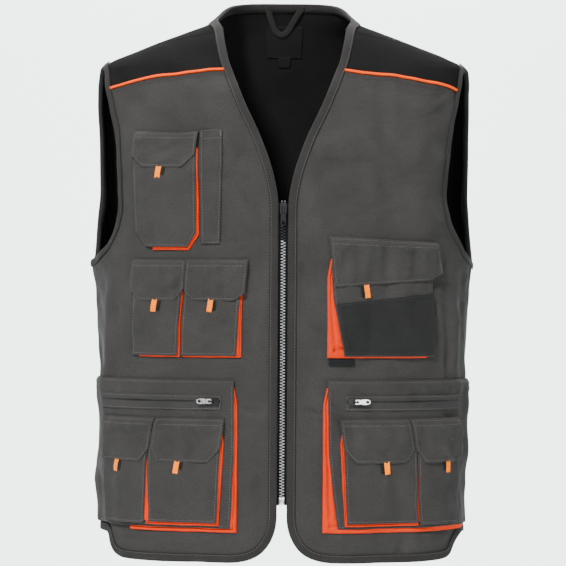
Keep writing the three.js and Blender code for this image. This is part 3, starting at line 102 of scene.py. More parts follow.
PHONE_WIDTH = 82
PEN_WIDTH = 29
PEN_GAP = 4
PEN_DEPTH_SHARE = 0.7
PATCH_THICKNESS = 0.8
PATCH_TILT = 14
CHEST_FLAP_LEAN = 9
LABEL_WIDTH = 49
LABEL_HEIGHT = 41
LABEL_DROP = 27
LABEL_THICKNESS = 0.8
SIZE_TAB_WIDTH = 16
SIZE_TAB_HEIGHT = 12
LOOP_STRAP = 8
LOOP_THICKNESS = 1.5
LOOP_WIDTH = 48
LOOP_DROP = 37
SIDE_LABEL_WIDTH = 32
SIDE_LABEL_HEIGHT = 8
SIDE_LABEL_DOWN = 1.03
TAB_LENGTH = 14
TAB_THICKNESS = 1.8
SEAM_NECK_DOWN = 0.105
SEAM_TIP_DOWN = 0.203
SEAM_BOW = 0.07
TIP_BACK_SHARE = 0.205
TIP_CROWDING = 1.4
RIDGE_CROWDING = 0.65
OVER_STEPS = 4
YOKE_SIDE_TURN = 1.25

# The form: rows of down (share of the length), width, front depth and back depth (shares of theirs)
SECTIONS = [
    (-0.144, 0.020, 0.35, 0.55), (-0.086, 0.184, 0.37, 0.58), (-0.030, 0.299, 0.41, 0.625),
    (-0.0115, 0.328, 0.45, 0.67), (0.0043, 0.3545, 0.485, 0.71), (0.017, 0.3975, 0.52, 0.745),
    (0.0345, 0.5246, 0.56, 0.78), (0.056, 0.6885, 0.61, 0.825), (0.079, 0.8566, 0.66, 0.865),
    (0.092, 0.9385, 0.69, 0.885), (0.1034, 0.975, 0.72, 0.905), (0.1365, 0.988, 0.80, 0.95),
    (0.20, 0.988, 0.885, 0.985), (0.287, 0.988, 0.96, 1.0), (0.4167, 0.996, 0.995, 0.95),
    (0.4626, 1.0, 1.0, 0.925), (0.517, 0.988, 1.0, 0.90), (0.603, 0.975, 0.995, 0.875),
    (0.718, 0.96, 0.99, 0.865), (0.862, 0.955, 0.995, 0.885), (1.006, 0.955, 1.0, 0.905),
]
# Folds of the back: turn, spread, top, bottom, out, lean
FOLDS = [
    (1.30, 0.075, 0.50, 1.10, 0.045, -0.10), (1.47, 0.070, 0.40, 1.05, -0.040, -0.05),
    (1.68, 0.085, 0.55, 1.12, 0.038, 0.04), (1.88, 0.075, 0.45, 1.05, -0.030, 0.02),
    (1.22, 0.060, 0.24, 0.62, -0.035, 0.25), (1.36, 0.060, 0.16, 0.46, 0.030, 0.30),
]
# Edges and seams: down and out, or turn and down, as shares
NECK_FRONT = [
    (0.10, 0.326), (0.17, 0.314), (0.27, 0.290), (0.385, 0.250), (0.52, 0.195), (0.635, 0.138),
    (0.755, 0.090), (0.875, 0.053), (0.985, 0.032),
]
NECK_BACK = [
    (1.00, 0.003), (1.18, -0.010), (1.36, -0.022), (1.58, -0.029), (1.80, -0.031), (2.00, -0.031),
]
ARMHOLE_FRONT = [
    (0.199, 0.985), (0.213, 0.880), (0.228, 0.798), (0.253, 0.756), (0.302, 0.728), (0.351, 0.702),
    (0.436, 0.671), (0.553, 0.640), (0.668, 0.622), (0.747, 0.622), (0.829, 0.636), (0.876, 0.660),
    (0.908, 0.685), (0.939, 0.725), (0.970, 0.791), (0.988, 0.870), (0.997, 0.950), (1.000, 1.000),
]
ARMHOLE_BACK = [
    (0.199, 1.015), (0.240, 1.070), (0.330, 1.125), (0.500, 1.160), (0.700, 1.165), (0.860, 1.130),
    (0.950, 1.080), (0.990, 1.030), (1.000, 1.000),
]
PIPING_LINE = [(0.20, 0.111), (0.36, 0.120), (0.52, 0.130), (0.66, 0.140), (0.76, 0.151), (0.86, 0.165)]
HEM_LINE = [
    (0.0000, 0.9000), (0.0120, 0.9050), (0.0195, 0.9280), (0.0290, 0.9480), (0.0400, 0.9620),
    (0.0510, 0.9720), (0.0625, 0.9790), (0.0740, 0.9850), (0.0985, 0.9920), (0.1235, 0.9965),
    (0.1500, 0.9990), (0.2000, 1.0000), (0.3500, 1.0000), (0.4800, 1.0000), (0.6600, 0.9980),
    (0.7050, 0.9900), (0.7350, 0.9750), (0.7750, 0.9560), (0.8600, 0.9545), (1.0000, 0.9540),
]
# Outlines of the pocket pieces: down, inner and outer as shares
PHONE_FRONT = [(0.08, 0.02, 0.98), (0.88, 0.00, 0.98), (1.00, 0.13, 0.80)]
PHONE_FLAP = [(0.00, -0.02, 0.97), (0.21, 0.03, 1.00), (0.31, 0.23, 0.82)]
PHONE_GUSSET = [(0.14, -0.01), (0.54, -0.04), (0.895, -0.05), (1.03, 0.11), (1.03, 0.68)]
PEN_FRONT = [(0.00, 0.00, 1.00), (0.975, 0.08, 0.88)]
CHEST_FRONT = [(0.08, 0.02, 0.975), (0.40, 0.03, 0.98), (0.56, 0.05, 0.985), (1.00, 0.14, 1.00)]
CHEST_PATCH = [(0.51, 0.065, 0.965), (0.985, 0.15, 0.98)]
CHEST_FLAP = [(0.00, 0.00, 1.00), (0.30, 0.035, 1.06), (0.375, 0.055, 0.93)]
CHEST_GUSSET = [(0.17, 0.012), (0.33, -0.015), (1.015, -0.015), (1.015, 0.92)]
SMALL_FRONT_A = [(0.07, -0.05, 1), (1.02, 0.045, 1)]
SMALL_FLAP_A = [(0, -0.155, 0.98), (0.29, -0.07, 1.05), (0.42, 0.09, 0.97)]
SMALL_FLAP_B = [(0, -0.065, 0.86), (0.29, -0.01, 0.92), (0.42, 0.15, 0.82)]
SMALL_GUSSET = [(0.12, -0.03), (0.24, -0.055), (1.03, 0), (1.03, 1)]
DOUBLE_FRONTS = {
    "a": [(0.10, 0.51, 0.955), (1.00, 0.56, 1.00)],
    "b": [(0.10, 0.00, 0.485), (1.00, 0.05, 0.52)],
}
DOUBLE_FLAPS = {
    "a": [(0.00, 0.485, 0.96), (0.31, 0.50, 0.98), (0.425, 0.57, 0.89)],
    "b": [(0.00, -0.055, 0.475), (0.35, -0.03, 0.49), (0.425, 0.06, 0.41)],
}
DOUBLE_GUSSETS = {
    "a": [(0.33, 0.510), (1.02, 0.535), (1.02, 0.92)],
    "b": [(0.33, -0.01), (1.02, 0.00), (1.02, 0.505)],
}
# Folds at the corners of gussets, as creases: arc and height of both ends, width, height
CHEST_FOLDS = [
    (66, -422, 58.6, -434, 1, 1.7), (66, -422, 71, -432, 1, 1.7), (65, -428, 64.5, -433, 1, -1.2),
]
# Cargo pockets: side, name, shares of the gusset's width where its base and the front's inner edge
# lie (base, top, middle, bottom), the gusset's foot, small front b, seed and folds
CARGO_SIDES = [
    (-1, "left", -0.5, 0.1, 0.15, 0.5, 0.6, [(0.07, -0.01, 0.965), (1, 0.035, 0.95)], 10,
     [(61, -641, 65, -654, 1, 1.7), (61, -641, 58.5, -655, 1, 1.7)]),
    (1, "right", -1.1, -0.4, -0.1, 1.2, 0.9, [(0.07, -0.01, 0.945), (1, 0.035, 0.995)], 14,
     [(60, -642, 54.6, -656, 1, 1.7), (60, -642, 66, -655, 1, 1.7)]),
]

# Details that only this script has
FRONT_STEP = 2.4
YOKE_STEP = 3.0
BACK_PANEL_STEP = 3.6
CREASE_DEPTH = 1.35
YOKE_SPOKES = (20, 22, 40)
RIDGE_TURN = 1.02
STITCH_LIFT = 0.05
BAND_STITCH = 1.6
SLIT_HALF = 1.5
COIL_PITCH = 1.5
TEETH_PITCH = 3.7
TEETH_ASIDE = 1.45
# Height in mm above which the main zip's teeth get the dark metal, as painted shade round the slider and pull
SHADED_TEETH_END = -293
TWILL_ANGLE = 0.75
BANDS_PER_PITCH = 0.314

# Colours, as seen in light
GREY_COLOUR = (42, 41, 40)
BLACK_COLOUR = (20, 20, 20)
PATCH_COLOUR = (25, 25, 25)
BINDING_COLOUR = (34, 33, 32)
ORANGE_COLOUR = (184, 42, 0)
PIPING_COLOUR = (216, 70, 0)
STRIP_COLOUR = (226, 112, 0)
WEBBING_COLOUR = (20, 20, 20)
TAPE_COLOUR = (17, 17, 18)
LABEL_COLOUR = (15, 15, 16)
BACKDROP_COLOUR = (247, 252, 252)
STEEL_COLOUR = (205, 205, 203)
DARK_METAL_COLOUR = (30, 30, 31)
# Threads: name, colour, slot and radius in mm
THREADS = [
    ("light", (104, 102, 98), "grey_cloth", 0.34), ("dim", (64, 63, 61), "grey_cloth", 0.3),
    ("dark", (33, 33, 34), "black_cloth", 0.3), ("orange", ORANGE_COLOUR, "orange_cloth", 0.28),
]

WORLD_LIGHT = 0.38
CAMERA_LENS = 156.72
CAMERA_AWAY = 3.2
CAMERA_DROP = 0.347
CAMERA_LEAN = math.radians(0.35)
# Lights: name, place, target, size in m and power in W
LIGHTS = [
    ("key", (-1.15, -2.8, 2.0), (0, 0, -0.35), 0.6, 306.0),
    ("fill", (1.3, -3.3, -0.2), (0, 0, -0.35), 1.8, 50.0),
    ("top", (0.1, -0.6, 2.2), (0, 0, -0.2), 1.6, 8.0),
    ("back", (0.6, 2.0, 1.4), (0, 0, -0.3), 1.6, 8.0),
    ("wall", (0.0, 1.0, 2.6), (0, 3.5, -0.3), 3.0, 470.0),
]

MM = 0.001
rng = np.random.default_rng(7)


def mix(a, b, t):
    return a + (b - a) * t


def smooth(t):
    t = np.clip(t, 0, 1)
    return t * t * (3 - 2 * t)


def smooth_curve(table, column=1):
    """Smooth monotone curve through one column of a table, against its first column"""
    xs = np.array([row[0] for row in table], float)
    ys = np.array([row[column] for row in table], float)
    widths = np.diff(xs)
    slopes = np.diff(ys) / widths
    tangents = np.concatenate([slopes[:1], np.zeros(len(xs) - 2), slopes[-1:]])
    for i in range(1, len(xs) - 1):
        if slopes[i - 1] * slopes[i] > 0:
            before = 2 * widths[i] + widths[i - 1]
            after = widths[i] + 2 * widths[i - 1]
            tangents[i] = (before + after) / (before / slopes[i - 1] + after / slopes[i])

    def value(x):
        x = np.clip(x, xs[0], xs[-1])
        i = np.clip(np.searchsorted(xs, x, side="right") - 1, 0, len(widths) - 1)
        t = (x - xs[i]) / widths[i]
        rise = t * t * (3 - 2 * t)
        bend = (1 - t) * tangents[i] - t * tangents[i + 1]
        return ys[i] * (1 - rise) + ys[i + 1] * rise + t * (1 - t) * widths[i] * bend
    return value


def line_curve(table, column):
    xs = [row[0] for row in table]
    ys = [row[column] for row in table]
    return lambda x: np.interp(x, xs, ys)


width_share = smooth_curve(SECTIONS, 1)
front_share = smooth_curve(SECTIONS, 2)
back_share = smooth_curve(SECTIONS, 3)
neck_out = smooth_curve(NECK_FRONT)
neck_back_down = smooth_curve(NECK_BACK)
arm_front_turn = smooth_curve(ARMHOLE_FRONT)
arm_back_turn = smooth_curve(ARMHOLE_BACK)
piping_down = smooth_curve(PIPING_LINE)
hem_down = smooth_curve(HEM_LINE)


def bump(distance):
    return np.where(np.abs(distance) < 1, np.cos(distance * np.pi / 2) ** 2, 0)


def fold_out(turn, z):
    down = -z / LENGTH
    out = 0
    for at, spread, top, bottom, height, lean in FOLDS:
        middle = (top + bottom) / 2
        reach = (bottom - top) / 2
        centre = at + lean * (down - middle)
        out = out + height * BACK_DEPTH * bump((turn - centre) / spread) * bump((down - middle) / reach)
    return out


def pair(a, b):
    return np.broadcast_arrays(np.asarray(a, float), np.asarray(b, float))


def form(turn, z):
    """Point of the outer face: turn is 0 at the centre front, 1 at the side, 2 at the centre back"""
    turn, z = pair(turn, z)
    side = np.where(turn < 0, -1.0, 1.0)
    around = np.abs(turn)
    angle = around * np.pi / 2
    down = -z / LENGTH
    along = np.cos(angle)
    power = np.where(along > 0, FRONT_ROUNDNESS, BACK_ROUNDNESS)
    reach = (np.abs(np.sin(angle)) ** power + np.abs(along) ** power) ** (-1 / power)
    fold = np.where(around > 1, fold_out(around, z), 0)
    half = HALF_WIDTH * width_share(down) + fold
    depth = np.where(along > 0, FRONT_DEPTH * front_share(down), BACK_DEPTH * back_share(down) + fold)
    return np.stack([side * half * reach * np.sin(angle), -depth * reach * along, z], -1)


def unit(v):
    return v / np.maximum(np.linalg.norm(v, axis=-1, keepdims=True), 1e-12)


def running(points):
    """Length along a path at each of its points"""
    return np.concatenate([[0], np.cumsum(np.linalg.norm(np.diff(points, axis=0), axis=-1))])


def frame_at(turn, z):
    along_turn = (form(turn + 0.002, z) - form(turn - 0.002, z)) / 0.004
    along_drop = (form(turn, z + 0.4) - form(turn, z - 0.4)) / 0.8
    return along_turn, along_drop, unit(np.cross(along_turn, along_drop))


# Cloth lengths round the form, from the centre front
TABLE_Z = np.arange(-740.0, 130.0, 2.0)
TABLE_TURN = np.linspace(0, 2, 161)
_points = form(TABLE_TURN[None, :], TABLE_Z[:, None])
_steps = np.linalg.norm(np.diff(_points, axis=1), axis=-1)
ARCS = np.concatenate([np.zeros((len(TABLE_Z), 1)), np.cumsum(_steps, axis=1)], axis=1)
ARC_GRID = np.arange(0.0, 760.0, 2.0)
TURNS = np.array([np.interp(ARC_GRID, row, TABLE_TURN) for row in ARCS])


def lookup(table, i, j):
    i = np.clip(i, 0, table.shape[0] - 1.001)
    j = np.clip(j, 0, table.shape[1] - 1.001)
    i0 = i.astype(int)
    j0 = j.astype(int)
    top = mix(table[i0, j0], table[i0, j0 + 1], j - j0)
    low = mix(table[i0 + 1, j0], table[i0 + 1, j0 + 1], j - j0)
    return mix(top, low, i - i0)


def arc_at(turn, z):
    turn, z = pair(turn, z)
    return np.sign(turn) * lookup(ARCS, (z - TABLE_Z[0]) / 2, np.abs(turn) * 80)


def turn_at(arc, z):
    arc, z = pair(arc, z)
    return np.sign(arc) * lookup(TURNS, (z - TABLE_Z[0]) / 2, np.abs(arc) / 2)


# Soft creases of the worn cloth: arc and height of both ends, width, height of the ridge.
# Arcs of the back are measured from its centre.
FRONT_CREASES = [
    (-205, -205, -150, -100, 24, 2.6), (-95, -95, -150, -190, 30, -2.8), (-118, -60, -60, -170, 28, 2.4),
    (-38, -215, -95, -150, 9, 2.2), (-30, -245, -85, -190, 8, -2.0), (-30, -262, -75, -240, 8, 1.6),
    (-28, -300, -70, -268, 12, 1.6), (-26, -506, -50, -503, 2.4, -1.8), (-26, -511, -50, -509, 5, 1.4),
    (26, -505, 52, -508, 2.4, -2.2), (26, -511, 50, -514, 5, 1.5), (-22, -400, -50, -470, 12, 1.8),
    (30, -380, 54, -455, 13, 2.0), (200, -215, 150, -120, 26, 2.6), (92, -105, 140, -215, 32, -2.6),
    (70, -120, 190, -140, 26, 1.8), (46, -178, 120, -150, 10, 1.9), (52, -198, 112, -196, 9, -1.6),
    (60, -215, 130, -255, 18, 2.2), (36, -235, 60, -330, 13, 1.8), (216, -350, 224, -470, 6, -2.6),
    (232, -350, 238, -460, 9, 2.4), (-222, -345, -226, -470, 8, -2.2), (-240, -350, -243, -460, 9, 2.4),
    (-205, -330, -240, -360, 11, 2.0), (205, -330, 242, -352, 11, 2.0), (-90, -668, -190, -672, 8, 2.2),
    (80, -670, 200, -676, 8, 2.2), (-60, -640, -90, -690, 8, 1.8), (62, -640, 90, -690, 8, 1.8),
    (-150, -690, -150, -664, 8, -1.8), (150, -690, 156, -664, 8, -1.8), (60, -440, 200, -462, 8, 1.6),
    (90, -452, 130, -441, 6, -1.5), (-70, -446, -190, -460, 8, 1.5), (-28, -560, -52, -640, 9, 1.5),
    (28, -560, 50, -640, 9, 1.5), (-30, -340, -48, -420, 8, -1.5), (-200, -262, -160, -226, 9, 1.7),
    (205, -270, 165, -238, 9, 1.7),
]
BACK_CREASES = [
    (-150, -180, 30, -260, 30, 3.0), (160, -200, -20, -300, 30, 2.6), (-190, -300, -60, -420, 24, 3.4),
    (195, -320, 50, -430, 24, 3.2), (-120, -150, -60, -330, 26, -2.4), (110, -150, 70, -330, 28, -2.2),
    (0, -330, 0, -640, 40, 2.6), (-100, -430, -85, -655, 26, -3.0), (96, -430, 105, -655, 26, -2.8),
    (-170, -440, -150, -655, 24, 3.2), (168, -450, 160, -655, 24, 3.0), (-60, -470, 40, -500, 16, 1.8),
    (40, -400, 150, -385, 14, 1.8), (-40, -385, -160, -370, 14, 1.8), (0, -130, 0, -250, 40, -1.6),
]


def crease_lift(x, z, creases):
    lift = 0
    for x0, z0, x1, z1, spread, height in creases:
        dx, dz = x1 - x0, z1 - z0
        length = math.hypot(dx, dz)
        t = ((x - x0) * dx + (z - z0) * dz) / length ** 2
        aside = ((x - x0) * dz - (z - z0) * dx) / length
        inside = smooth((t + 0.25) / 0.5) * smooth((1.25 - t) / 0.5)
        lift = lift + height * np.exp(-((aside / spread) ** 2)) * inside
    return lift


WAVES = [(rng.uniform(0, 2 * np.pi), rng.uniform(0, 2 * np.pi), rng.uniform(0.6, 1.6))
         for _ in range(24)]


def waves(x, z, length, first=0, count=6):
    """Gentle random waves of about that length, from -1 to 1"""
    total = 0
    for direction, phase, pitch in WAVES[first:first + count]:
        k = 2 * np.pi / (length * pitch)
        total = total + np.sin(k * (x * math.cos(direction) + z * math.sin(direction)) + phase)
    return total / count ** 0.5

SLIDER_SPOTS = [(-102, -495, 34), (105, -495, 34), (0, -257, 30)]


def swell(turn, z):
    """How far the worn cloth stands off the plain form"""
    arc = arc_at(turn, z)
    half = lookup(ARCS, (z - TABLE_Z[0]) / 2, np.full(np.shape(z), 160.0))
    from_back = np.sign(arc) * (half - np.abs(arc))
    front = CREASE_DEPTH * crease_lift(arc, z, FRONT_CREASES) + 2.4 * waves(arc, z, 85)
    front = front + 0.7 * waves(arc, z, 30, 12)
    back = crease_lift(from_back, z, BACK_CREASES) + 1.0 * waves(from_back, z, 110, 6)
    behind = np.abs(turn) > 1
    lift = np.where(behind, back, front) * smooth(np.abs(np.abs(turn) - 1) / 0.09)
    lift = lift * smooth((np.abs(arc) - 13) / 22 + behind) * smooth((-z - 20) / 80)
    for x, height, reach in SLIDER_SPOTS:
        lift = lift * smooth(np.hypot(arc - x, z - height) / reach - 0.45)
    return lift


def cloth(turn, z, lift):
    _, _, normal = frame_at(turn, z)
    return form(turn, z) + normal * (lift + swell(turn, z))[..., None], normal


# Meshes

def linked(name, data):
    thing = bpy.data.objects.new(name, data)
    bpy.context.scene.collection.objects.link(thing)
    return thing


def shade(mesh, smooth_faces=True):
    mesh.polygons.foreach_set("use_smooth", np.full(len(mesh.polygons), smooth_faces))


def new_object(name, vertices, faces, material, uv=None):
    mesh = bpy.data.meshes.new(name)
    mesh.from_pydata((np.asarray(vertices) * MM).tolist(), [], faces)
    if uv is not None:
        layer = mesh.uv_layers.new(name="cloth")
        corners = np.empty(len(mesh.loops), dtype=np.int32)
        mesh.loops.foreach_get("vertex_index", corners)
        layer.data.foreach_set("uv", (np.asarray(uv) * MM)[corners].astype(np.float32).ravel())
    shade(mesh)
    mesh.materials.append(material)
    mesh.update()
    return linked(name, mesh)


def placed(thing, slot, *nodes, body="vest"):
    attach(thing, body)
    if nodes:
        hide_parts(*nodes)
    return thing


def grid_faces(rows, columns, start=0, flip=False):
    r, c = np.meshgrid(np.arange(rows - 1), np.arange(columns - 1), indexing="ij")
    a = start + r * columns + c
    quads = np.stack([a, a + 1, a + columns + 1, a + columns], -1).reshape(-1, 4)
    return quads[:, ::-1] if flip else quads


def border(rows, columns):
    """Indices round a grid's border and of the vertex just inside each"""
    loop = [(0, c) for c in range(columns - 1)] + [(r, columns - 1) for r in range(rows - 1)]
    loop += [(rows - 1, c) for c in range(columns - 1, 0, -1)] + [(r, 0) for r in range(rows - 1, 0, -1)]
    inside = [(min(max(r, 1), rows - 2), min(max(c, 1), columns - 2)) for r, c in loop]
    index = [r * columns + c for r, c in loop]
    return np.array(index), np.array([r * columns + c for r, c in inside])


class Sheet:
    """Cloth with two faces and a rounded edge, over a grid of turn, z and lift"""

    def __init__(self, name, material, turn, z, lift, thickness=CLOTH, pocket=None):
        turn, z, lift, thickness = np.broadcast_arrays(
            *(np.asarray(values, float) for values in (turn, z, lift, thickness)))
        base, self.normal = cloth(turn, z, lift)
        self.outer = base + self.normal * thickness[..., None]
        rows, columns = turn.shape
        count = rows * columns
        index, inside = border(rows, columns)
        outer = self.outer.reshape(-1, 3)
        inner = base.reshape(-1, 3)
        middle = (outer + inner) / 2
        away = unit(middle[index] - middle[inside])
        rim = middle[index] + away * thickness.reshape(-1)[index][:, None] * 0.45
        corner = self.outer[0, 0]
        flip = np.cross(self.outer[0, 1] - corner, self.outer[1, 0] - corner) @ self.normal[0, 0] < 0
        faces = [grid_faces(rows, columns, 0, flip), grid_faces(rows, columns, count, not flip)]
        ring = 2 * count + np.arange(len(index))
        after = np.roll(np.arange(len(index)), -1)
        for first, second in ((index, ring), (ring, index + count)):
            quads = np.stack([first, second, second[after], first[after]], -1)
            faces.append(quads[:, ::-1] if flip else quads)
        across = arc_at(turn, z)
        if np.abs(turn).max() > 1.5:
            across = across - np.sign(turn) * arc_at(2.0, z)
        uv = np.stack([across, z], -1).reshape(-1, 2)
        vertices = np.concatenate([outer, inner, rim])
        self.pocket = pocket
        self.object = new_object(name, vertices, np.concatenate(faces).tolist(), material,
                                 np.concatenate([uv, uv, uv[index]]))

    def at(self, u, v):
        """Points and normals of the outer face at shares across and down"""
        _, us, vs, _ = self.pocket
        i = np.interp(v, vs, np.arange(len(vs)))
        j = np.interp(u, us, np.arange(len(us)))
        points, normals = (np.stack([lookup(grid[..., k], i, j) for k in range(3)], -1)
                           for grid in (self.outer, self.normal))
        return points, unit(normals)

    def line(self, *corners):
        """Line over the sheet through corners of mm from the inner edge and from the top.
        A negative number counts from the outer edge or from the bottom."""
        width_at, _, _, height = self.pocket
        share = lambda distance, whole: distance / whole if distance >= 0 else 1 + distance / whole
        u_all, v_all = [], []
        for (a0, b0), (a1, b1) in zip(corners, corners[1:]):
            t = np.linspace(0, 1, 30)
            v = mix(share(b0, height), share(b1, height), t)
            widths = width_at(v)
            if (a0 >= 0) == (a1 >= 0):
                u = mix(a0, a1, t) / widths + (a0 < 0)
            else:
                u = mix(share(a0, widths[0]), share(a1, widths[-1]), t)
            u_all.append(u)
            v_all.append(v)
        return self.at(np.concatenate(u_all), np.concatenate(v_all))


def slide(turn, z, direction, distance):
    """Place at a distance to the left of a direction, along the cloth"""
    along_turn, along_drop, normal = frame_at(turn, z)
    aside = unit(np.cross(normal, direction)) * distance
    tt = (along_turn ** 2).sum(-1)
    td = (along_turn * along_drop).sum(-1)
    dd = (along_drop ** 2).sum(-1)
    st = (aside * along_turn).sum(-1)
    sd = (aside * along_drop).sum(-1)
    det = tt * dd - td * td
    return turn + (st * dd - sd * td) / det, z + (sd * tt - st * td) / det


def direction_of(turn, z, closed=False):
    points = form(turn, z)
    if closed:
        return unit(np.roll(points, -1, axis=0) - np.roll(points, 1, axis=0))
    return unit(np.gradient(points, axis=0))


def sweep(name, material, turn, z, section, closed=False, lift=0):
    """Solid strip with a closed section of aside and lift, along a path on the cloth"""
    direction = direction_of(turn, z, closed)
    rings = []
    for aside, height in section:
        t, h = slide(turn, z, direction, aside)
        rings.append(cloth(t, h, np.full(len(t), height + lift))[0])
    points = np.stack(rings, 1)
    count, sides = points.shape[:2]
    length = running(points[:, 0])
    around = np.cumsum([0] + [math.dist(a, b) for a, b in zip(section, section[1:])])
    uv = np.stack(np.broadcast_arrays(around[None, :], length[:, None]), -1).reshape(-1, 2)
    i, k = np.meshgrid(np.arange(count if closed else count - 1), np.arange(sides), indexing="ij")
    following = (i + 1) % count
    across = (k + 1) % sides
    quads = [i * sides + k, i * sides + across, following * sides + across, following * sides + k]
    faces = np.stack(quads, -1).reshape(-1, 4).tolist()
    centre = points.mean(1)
    normal = np.cross(points[0, 1] - points[0, 0], points[1, 0] - points[0, 0])
    if normal @ (points[0, 0] + points[0, 1] - 2 * centre[0]) > 0:
        faces = [face[::-1] for face in faces]
    if not closed:
        faces.append(list(range(sides)))
        faces.append([(count - 1) * sides + k for k in reversed(range(sides))])
    return new_object(name, points.reshape(-1, 3), faces, material, uv)


def place_line(turn, z, lift):
    """Points and normals along a path on the cloth"""
    turn, z = pair(turn, z)
    return cloth(turn, z, np.full(turn.shape, float(lift)))


# Stitches, gathered by thread and made at the end
sewn_by = {}


def stitch(thread, line, pitch=3.6, length=2.7, sink=0.05):
    points, normals = line
    steps = np.linalg.norm(np.diff(points, axis=0), axis=-1)
    keep = np.concatenate([[True], steps > 1e-6])
    points, normals = points[keep], normals[keep]
    along = running(points)
    count = max(1, int(along[-1] / pitch))
    middles = (np.arange(count) + 0.5) * along[-1] / count
    sample = lambda at, array: np.stack([np.interp(at, along, array[:, k]) for k in range(3)], -1)
    middle = sample(middles, points)
    direction = unit(sample(middles + 0.5, points) - sample(middles - 0.5, points))
    normal = unit(sample(middles, normals))
    side = np.cross(direction, normal)
    sewn_by.setdefault(thread, []).append((middle - normal * sink, direction * length / 2, side, normal))


def make_threads(name, material, radius):
    """One mesh of spindles for all stitches of a thread"""
    middle, half, side, normal = (np.concatenate(part) for part in zip(*sewn_by[name]))
    rings = [middle - half]
    for t, size in ((-0.62, 0.85), (0.62, 0.85)):
        for a, b in ((1, 0), (0, 1), (-1, 0), (0, -1)):
            rings.append(middle + half * t + (side * a + normal * b) * radius * size)
    rings.append(middle + half)
    points = np.stack(rings, 1)
    faces = []
    for k, k2 in ((0, 1), (1, 2), (2, 3), (3, 0)):
        faces += [(0, 1 + k2, 1 + k), (9, 5 + k, 5 + k2), (1 + k, 1 + k2, 5 + k2, 5 + k)]
    everything = [tuple(10 * i + v for v in face) for i in range(len(points)) for face in faces]
    return new_object("stitches_" + name, points.reshape(-1, 3), everything, material)


# Materials

def linear(colour):
    return tuple(c / 255 / 12.92 if c < 10.3 else ((c / 255 + 0.055) / 1.055) ** 2.4 for c in colour) + (1.0,)


def scaled(colour, factor, extra=0):
    return linear([min(255, c * factor + extra) for c in colour])


class Nodes:
    """Builds a material's nodes and returns their outputs"""

    def __init__(self, name):
        self.material = bpy.data.materials.new(name)
        self.material.use_nodes = True
        self.tree = self.material.node_tree
        self.shader = self.tree.nodes["Principled BSDF"]

    def add(self, kind, values=None, **settings):
        thing = self.tree.nodes.new(kind)
        for key, value in settings.items():
            setattr(thing, key, value)
        for key, value in (values or {}).items():
            if isinstance(value, bpy.types.NodeSocket):
                self.tree.links.new(value, thing.inputs[key])
            else:
                thing.inputs[key].default_value = value
        return thing

    def math(self, operation, a, b=0.0):
        return self.add("ShaderNodeMath", {0: a, 1: b}, operation=operation).outputs[0]

    def weighted(self, a, share_a, b, share_b):
        return self.math("ADD", self.math("MULTIPLY", a, share_a), self.math("MULTIPLY", b, share_b))

    def mapped(self, vector, angle=0.0, scale=(1.0, 1.0, 1.0)):
        values = {"Vector": vector, "Rotation": (0, 0, angle), "Scale": scale}
        return self.add("ShaderNodeMapping", values).outputs[0]

    def noise(self, vector, scale, detail, rough=0.5, distortion=0.0):
        values = {"Vector": vector, "Scale": scale, "Detail": detail, "Roughness": rough,
                  "Distortion": distortion}
        return self.add("ShaderNodeTexNoise", values).outputs["Fac"]

    def pointiness(self):
        return self.add("ShaderNodeNewGeometry").outputs["Pointiness"]

    def ramp(self, value, low, high, to_low=0.0, to_high=1.0):
        values = {"Value": value, "From Min": low, "From Max": high, "To Min": to_low, "To Max": to_high}
        return self.add("ShaderNodeMapRange", values).outputs[0]

    def blend(self, factor, a, b, kind="MIX"):
        made = self.add("ShaderNodeMix", {0: factor, 6: a, 7: b}, data_type="RGBA", blend_type=kind)
        return made.outputs[2]

    def shaded(self, colour, tone):
        grey = self.add("ShaderNodeCombineColor", {0: tone, 1: tone, 2: tone}).outputs[0]
        return self.blend(1.0, colour, grey, "MULTIPLY")

    def finish(self, colour=None, roughness=None, bump=None, distance=0.0003, strength=0.5, **fixed):
        if bump is not None:
            values = {"Height": bump, "Distance": distance, "Strength": strength}
            bump = self.add("ShaderNodeBump", values).outputs[0]
        for socket, value in (("Base Color", colour), ("Roughness", roughness), ("Normal", bump)):
            if value is not None:
                self.tree.links.new(value, self.shader.inputs[socket])
        for key, value in fixed.items():
            self.shader.inputs[key.replace("_", " ")].default_value = value
        return self.material


